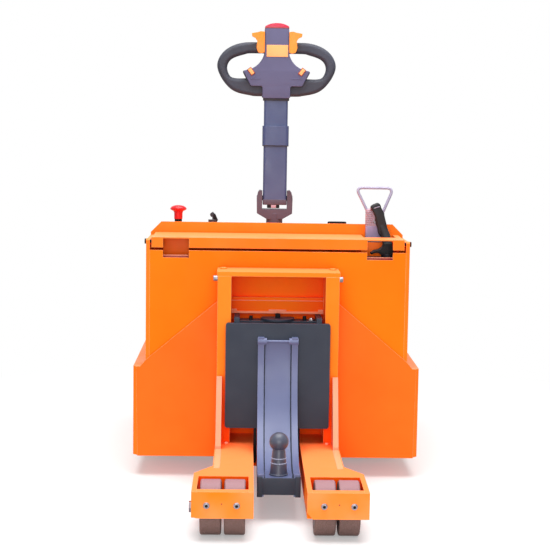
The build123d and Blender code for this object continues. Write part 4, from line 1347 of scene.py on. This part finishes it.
@dataclass
class HitchWelds(Dressing):
    """Weld beads where the arm's curved web meets its two side plates.

    Attributes:
        centre: Station and height of the curve's centre.
        radius: Radius of the bead's run.
        bead: Radius of the bead itself.
        facets: Facets along the whole circle and round the bead.
        plate_x: Inner face of the side plates.
        front_y: Station where the beads end in front.
        top_z: Height where the beads end.
        ripple_size: Size of the bead's ripples.
        ripple_height: Height of the ripples.
    """

    body: ClassVar[Body] = Body.CARRIAGE
    centre: Span = (-0.4733, 0.3523)
    radius: float = 0.2484
    bead: float = 0.0030
    facets: tuple[int, int] = (420, 10)
    plate_x: float = 0.0362
    front_y: float = -0.523
    top_z: float = 0.400
    ripple_size: float = 0.006
    ripple_height: float = 0.0018

    def build(self) -> None:
        """Models both beads and gives them their ripples."""
        ripple = bpy.data.textures.new("weld_ripple", "CLOUDS")
        ripple.noise_scale = self.ripple_size
        along, around = self.facets
        for side, word in SIDES:
            bpy.ops.object.select_all(action="DESELECT")
            bpy.ops.mesh.primitive_torus_add(
                location=(side * self.plate_x, *self.centre), rotation=(0.0, radians(90.0), 0.0),
                major_radius=self.radius, minor_radius=self.bead, major_segments=along, minor_segments=around)
            bead = start_piece(f"hitch_weld_{word}")
            for point, normal in (((0.0, self.front_y, 0.0), TOWARDS_CAMERA), ((0.0, 0.0, self.top_z), UP)):
                bpy.ops.mesh.select_all(action="SELECT")
                bpy.ops.mesh.bisect(plane_co=point, plane_no=normal, use_fill=True, clear_outer=True)
            end_piece(bead)
            swell = bead.modifiers.new("ripples", "DISPLACE")
            swell.texture = ripple
            swell.strength = self.ripple_height
            bpy.ops.object.modifier_apply(modifier=swell.name)
            self.dress(bead, "slate_paint", "blue_grey_paint")


@dataclass
class NoseDress(Dressing):
    """Face plate of the arm's nose and the two bright rings of the ball's neck.

    Attributes:
        nose_y: Station of the nose.
        half_width: Half the arm's width.
        plate_z: Foot and top of the face plate.
        plate_reach: How far the plate stands out of the nose and reaches into it.
        plate_edge: Radius of the edges of plate and feet.
        foot_inner: Inner side of the plate's two feet, from the middle.
        foot_reach: How far the feet stand out of the nose and reach into it.
        foot_z: Foot and top of the feet.
        ball_y: Station of the ball.
        rings: Radius and height of each ring.
        ring_rise: Radius gained and height at a ring's foot, widest place and top.
    """

    body: ClassVar[Body] = Body.CARRIAGE
    nose_y: float = lowest("hitch_arm").y
    half_width: float = highest("hitch_arm").x
    plate_z: Span = (0.0675, 0.1090)
    plate_reach: Span = (0.0022, 0.0040)
    plate_edge: float = 0.0012
    foot_inner: float = 0.0400
    foot_reach: Span = (0.0030, 0.0040)
    foot_z: Span = (0.0620, 0.1130)
    ball_y: float = middle_y("tow_ball")
    rings: Outline = ((0.0192, 0.1360), (0.0180, 0.1480))
    ring_rise: Outline = ((0.0, 0.0), (0.0010, 0.0008), (-0.0002, 0.0017))

    def build(self) -> None:
        """Models the face plate, its feet and the rings."""
        plate_y = (self.nose_y - self.plate_reach[0], self.nose_y + self.plate_reach[1])
        plate = slab("nose_plate", about(0.0, self.half_width), plate_y, self.plate_z, self.plate_edge)
        self.dress(plate, "slate_paint", "slate_paint")
        foot_y = (self.nose_y - self.foot_reach[0], self.nose_y + self.foot_reach[1])
        for side, word in SIDES:
            across = beside(side, self.foot_inner, self.half_width)
            foot = slab(f"nose_foot_{word}", across, foot_y, self.foot_z, self.plate_edge)
            self.dress(foot, "slate_paint", "slate_paint")
        for number, (radius, height) in enumerate(self.rings):
            profile = tuple((radius + gain, rise) for gain, rise in self.ring_rise)
            ring = turned(f"neck_ring_{number}", profile, Vector((0.0, self.ball_y, height)), UP)
            self.dress(ring, "ring_light", "blue_grey_paint")


@dataclass
class GuardDress(Dressing):
    """Socket bolts and marks on the two wheel guards.

    Attributes:
        face_y: Station of the guards' face.
        bolt_z: Height of the bolts.
        middle_x: Distance of a guard's middle from the machine's.
        spread: Distance of a bolt from the guard's middle.
        washer_side: Profile of a washer.
        bolt_out: How far a bolt stands out of the face.
        bolt_size: Radius and height of a bolt's head.
        well_side: Profile of the dark disc in a bolt's socket, painted shade for the socket's inside.
        well_out: How far that disc is from the face.
        well_facets: Facets of that disc.
        mark_side: Profile of the mark between the bolts.
        mark_rise: How far the mark is above the bolts.
        mark_facets: Facets of the mark.
    """

    face_y: float = lowest("wheel_guards").y
    bolt_z: float = 0.0885
    middle_x: float = 0.1365
    spread: float = 0.0350
    washer_side: Outline = chamfered(0.0078, 0.0012, 0.0008, 0.0004)
    bolt_out: float = 0.001
    bolt_size: Span = (0.0062, 0.0042)
    well_side: Outline = chamfered(0.0036, 0.0005, 0.0006, 0.0002)
    well_out: float = 0.0052
    well_facets: int = 12
    mark_side: Outline = chamfered(0.0016, 0.0006, 0.0007, 0.0002)
    mark_rise: float = 0.004
    mark_facets: int = 16

    def build(self) -> None:
        """Models two bolts on each guard and the small mark between them."""
        for side, word in SIDES:
            middle = Vector((side * self.middle_x, self.face_y, self.bolt_z))
            for step, letter in ((-1.0, "a"), (1.0, "b")):
                self.bolt(f"{word}_{letter}", middle + Vector((step * self.spread, 0.0, 0.0)))
            mark = turned(f"guard_mark_{word}", self.mark_side, middle + UP * self.mark_rise, TOWARDS_CAMERA,
                          self.mark_facets, 0.0)
            self.dress(mark, "label_rim", "orange_paint")

    def bolt(self, ending: str, spot: Vector) -> None:
        """Models one bolt on its washer.

        Args:
            ending: End of the names of its pieces.
            spot: Its place on the guard's face.
        """
        washer = turned(f"guard_washer_{ending}", self.washer_side, spot, TOWARDS_CAMERA)
        self.dress(washer, "zinc_steel", "zinc_steel")
        bolt = socket_bolt(f"guard_bolt_{ending}", spot + TOWARDS_CAMERA * self.bolt_out, TOWARDS_CAMERA,
                           *self.bolt_size)
        self.dress(bolt, "zinc_steel", "zinc_steel")
        # Painted shade: a black disc caps the socket, where its inside lies in shade.
        mouth = spot + TOWARDS_CAMERA * self.well_out
        well = turned(f"guard_well_{ending}", self.well_side, mouth, TOWARDS_CAMERA, self.well_facets, 0.0)
        self.dress(well, "black_paint", "zinc_steel")


@dataclass(frozen=True)
class SoftLight:
    """A square soft light.

    Attributes:
        name: Name of the light.
        place: Where it stands, in metres.
        turn: Its rotation, in degrees.
        side: Length of its side, in metres.
        power: Power in watts.
    """

    name: str
    place: Size
    turn: Size
    side: float
    power: float

    def build(self) -> None:
        """Adds the light."""
        turn = [radians(angle) for angle in self.turn]
        bpy.ops.object.light_add(type="AREA", location=self.place, rotation=turn)
        lamp = bpy.context.object
        lamp.name = self.name
        lamp.data.size = self.side
        lamp.data.energy = self.power


@dataclass
class Studio:
    """Floor, lights and background.

    Attributes:
        floor_side: Side of the floor, in metres.
        floor_grey: Brightness and roughness of the floor.
        ambient: Strength of the even light from all around.
        shadow_reach: Distance up to which the floor shows shadows.
        white_reach: Distance from which the floor is plain white.
        least_glow: Share of plain white left in the floor near the machine.
        lights: One light overhead, and a high and a low one behind the camera.
    """

    floor_side: float = 60.0
    floor_grey: float = 0.9
    ambient: float = 0.46
    shadow_reach: float = 0.9
    white_reach: float = 1.7
    least_glow: float = 0.30
    lights: tuple[SoftLight, ...] = (
        SoftLight("top_light", (0.0, -0.6, 3.6), (0.0, 0.0, 0.0), 3.2, 195.0),
        SoftLight("front_light", (-0.6, -5.2, 2.2), (72.0, 0.0, -6.0), 3.4, 62.0),
        SoftLight("fill_light", (-0.2, -5.0, 0.75), (90.0, 0.0, 0.0), 1.5, 58.0),
    )

    def build(self) -> None:
        """Sets up the floor, the soft lights and the white surroundings."""
        bpy.ops.mesh.primitive_plane_add(size=self.floor_side, location=(0.0, 0.0, 0.0))
        floor = bpy.context.object
        floor.name = "floor"
        floor.data.materials.append(self.floor_finish())
        for light in self.lights:
            light.build()
        self.surround()

    def floor_finish(self) -> bpy.types.Material:
        """Makes the floor pale under the machine and plain white further out.

        Returns:
            The floor's material.
        """
        sheet = NodeSheet("floor_white")
        sheet.shader.inputs["Base Color"].default_value = (*[self.floor_grey] * 3, 1.0)
        sheet.shader.inputs["Roughness"].default_value = self.floor_grey
        sheet.shader.inputs["Specular IOR Level"].default_value = 0.0
        reach = sheet.add("ShaderNodeVectorMath", operation="LENGTH")
        sheet.join(sheet.coordinates, reach.inputs[0])
        reaches = (self.shadow_reach, self.white_reach)
        far = sheet.ranged(reach.outputs["Value"], reaches, (self.least_glow, 1.0))
        glow = sheet.add("ShaderNodeEmission")
        path = sheet.add("ShaderNodeLightPath")
        strength = sheet.ranged(path.outputs["Is Camera Ray"], (0.0, 1.0), (self.ambient, 1.0))
        sheet.join(strength, glow.inputs["Strength"])
        blend = sheet.add("ShaderNodeMixShader")
        sheet.join(far, blend.inputs["Fac"])
        sheet.join(sheet.shader.outputs["BSDF"], blend.inputs[1])
        sheet.join(glow.outputs["Emission"], blend.inputs[2])
        sheet.join(blend.outputs["Shader"], sheet.tree.nodes["Material Output"].inputs["Surface"])
        return sheet.material

    def surround(self) -> None:
        """Makes the world white to the camera and in reflections, and softer as a light."""
        world = bpy.data.worlds.new("surround")
        bpy.context.scene.world = world
        world.use_nodes = True
        tree = world.node_tree
        shade = tree.nodes["Background"]
        shade.inputs["Color"].default_value = (1.0, 1.0, 1.0, 1.0)
        path = tree.nodes.new("ShaderNodeLightPath")
        level = tree.nodes.new("ShaderNodeMapRange")
        level.inputs["To Min"].default_value = self.ambient
        level.inputs["To Max"].default_value = 1.0
        seen = tree.nodes.new("ShaderNodeMath")
        seen.operation = "MAXIMUM"
        tree.links.new(path.outputs["Is Camera Ray"], seen.inputs[0])
        tree.links.new(path.outputs["Is Glossy Ray"], seen.inputs[1])
        tree.links.new(seen.outputs["Value"], level.inputs["Value"])
        tree.links.new(level.outputs["Result"], shade.inputs["Strength"])


@dataclass
class PhotoCamera:
    """The camera that took the photograph, from its measured vanishing point and horizon.

    Attributes:
        place: Where it stands, in metres.
        side_px: Side of the square photograph, in pixels.
        focal_px: Focal length, in pixels.
        horizon_px: Row of the horizon.
        vanishing_px: Column where lines along the machine meet.
        roll: Turn about the line of sight, in degrees.
        sensor: Width of the sensor, in millimetres.
    """

    place: Size = (-0.0861, -3.790, 0.965)
    side_px: float = 550.0
    focal_px: float = 1370.0
    horizon_px: float = 125.0
    vanishing_px: float = 246.0
    roll: float = 0.85
    sensor: float = 36.0

    def build(self) -> None:
        """Adds the camera and makes it the scene's own."""
        middle = self.side_px / 2
        fall = (middle - self.horizon_px) / self.focal_px
        aside = (self.vanishing_px - middle) / self.focal_px
        forward = Vector((-aside, 1.0, 0.0)).normalized()
        forward = Vector((forward.x, forward.y, -fall)).normalized()
        right = Vector((forward.y, -forward.x, 0.0)).normalized()
        right = Matrix.Rotation(radians(-self.roll), 3, forward) @ right
        up = right.cross(forward)
        bpy.ops.object.camera_add(location=self.place)
        camera = bpy.context.object
        camera.name = "photo_camera"
        turn = Matrix((right, up, -forward)).transposed().to_4x4()
        camera.matrix_world = Matrix.Translation(self.place) @ turn
        camera.data.sensor_width = self.sensor
        camera.data.lens = self.focal_px / self.side_px * self.sensor
        camera.data.dof.use_dof = False
        bpy.context.scene.camera = camera


def main() -> None:
    """Builds the picture's model piece by piece, in order."""
    logging.basicConfig(level=logging.INFO)
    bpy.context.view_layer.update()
    bpy.context.scene.view_settings.view_transform = "Standard"
    shop = Paintshop()
    shop.dress_nodes()
    LOG.info("finishes: %d", len(shop.materials))
    for dressing in (HeadShell, HeadDress, HoodControls, ConnectorDress, MastDress, CarriageDress, HitchWelds,
                     NoseDress, GuardDress):
        dressing(shop).build()
        LOG.info("%s is built", dressing.__name__)
    Studio().build()
    PhotoCamera().build()
    LOG.info("size written")


if __name__ == "__main__":
    main()
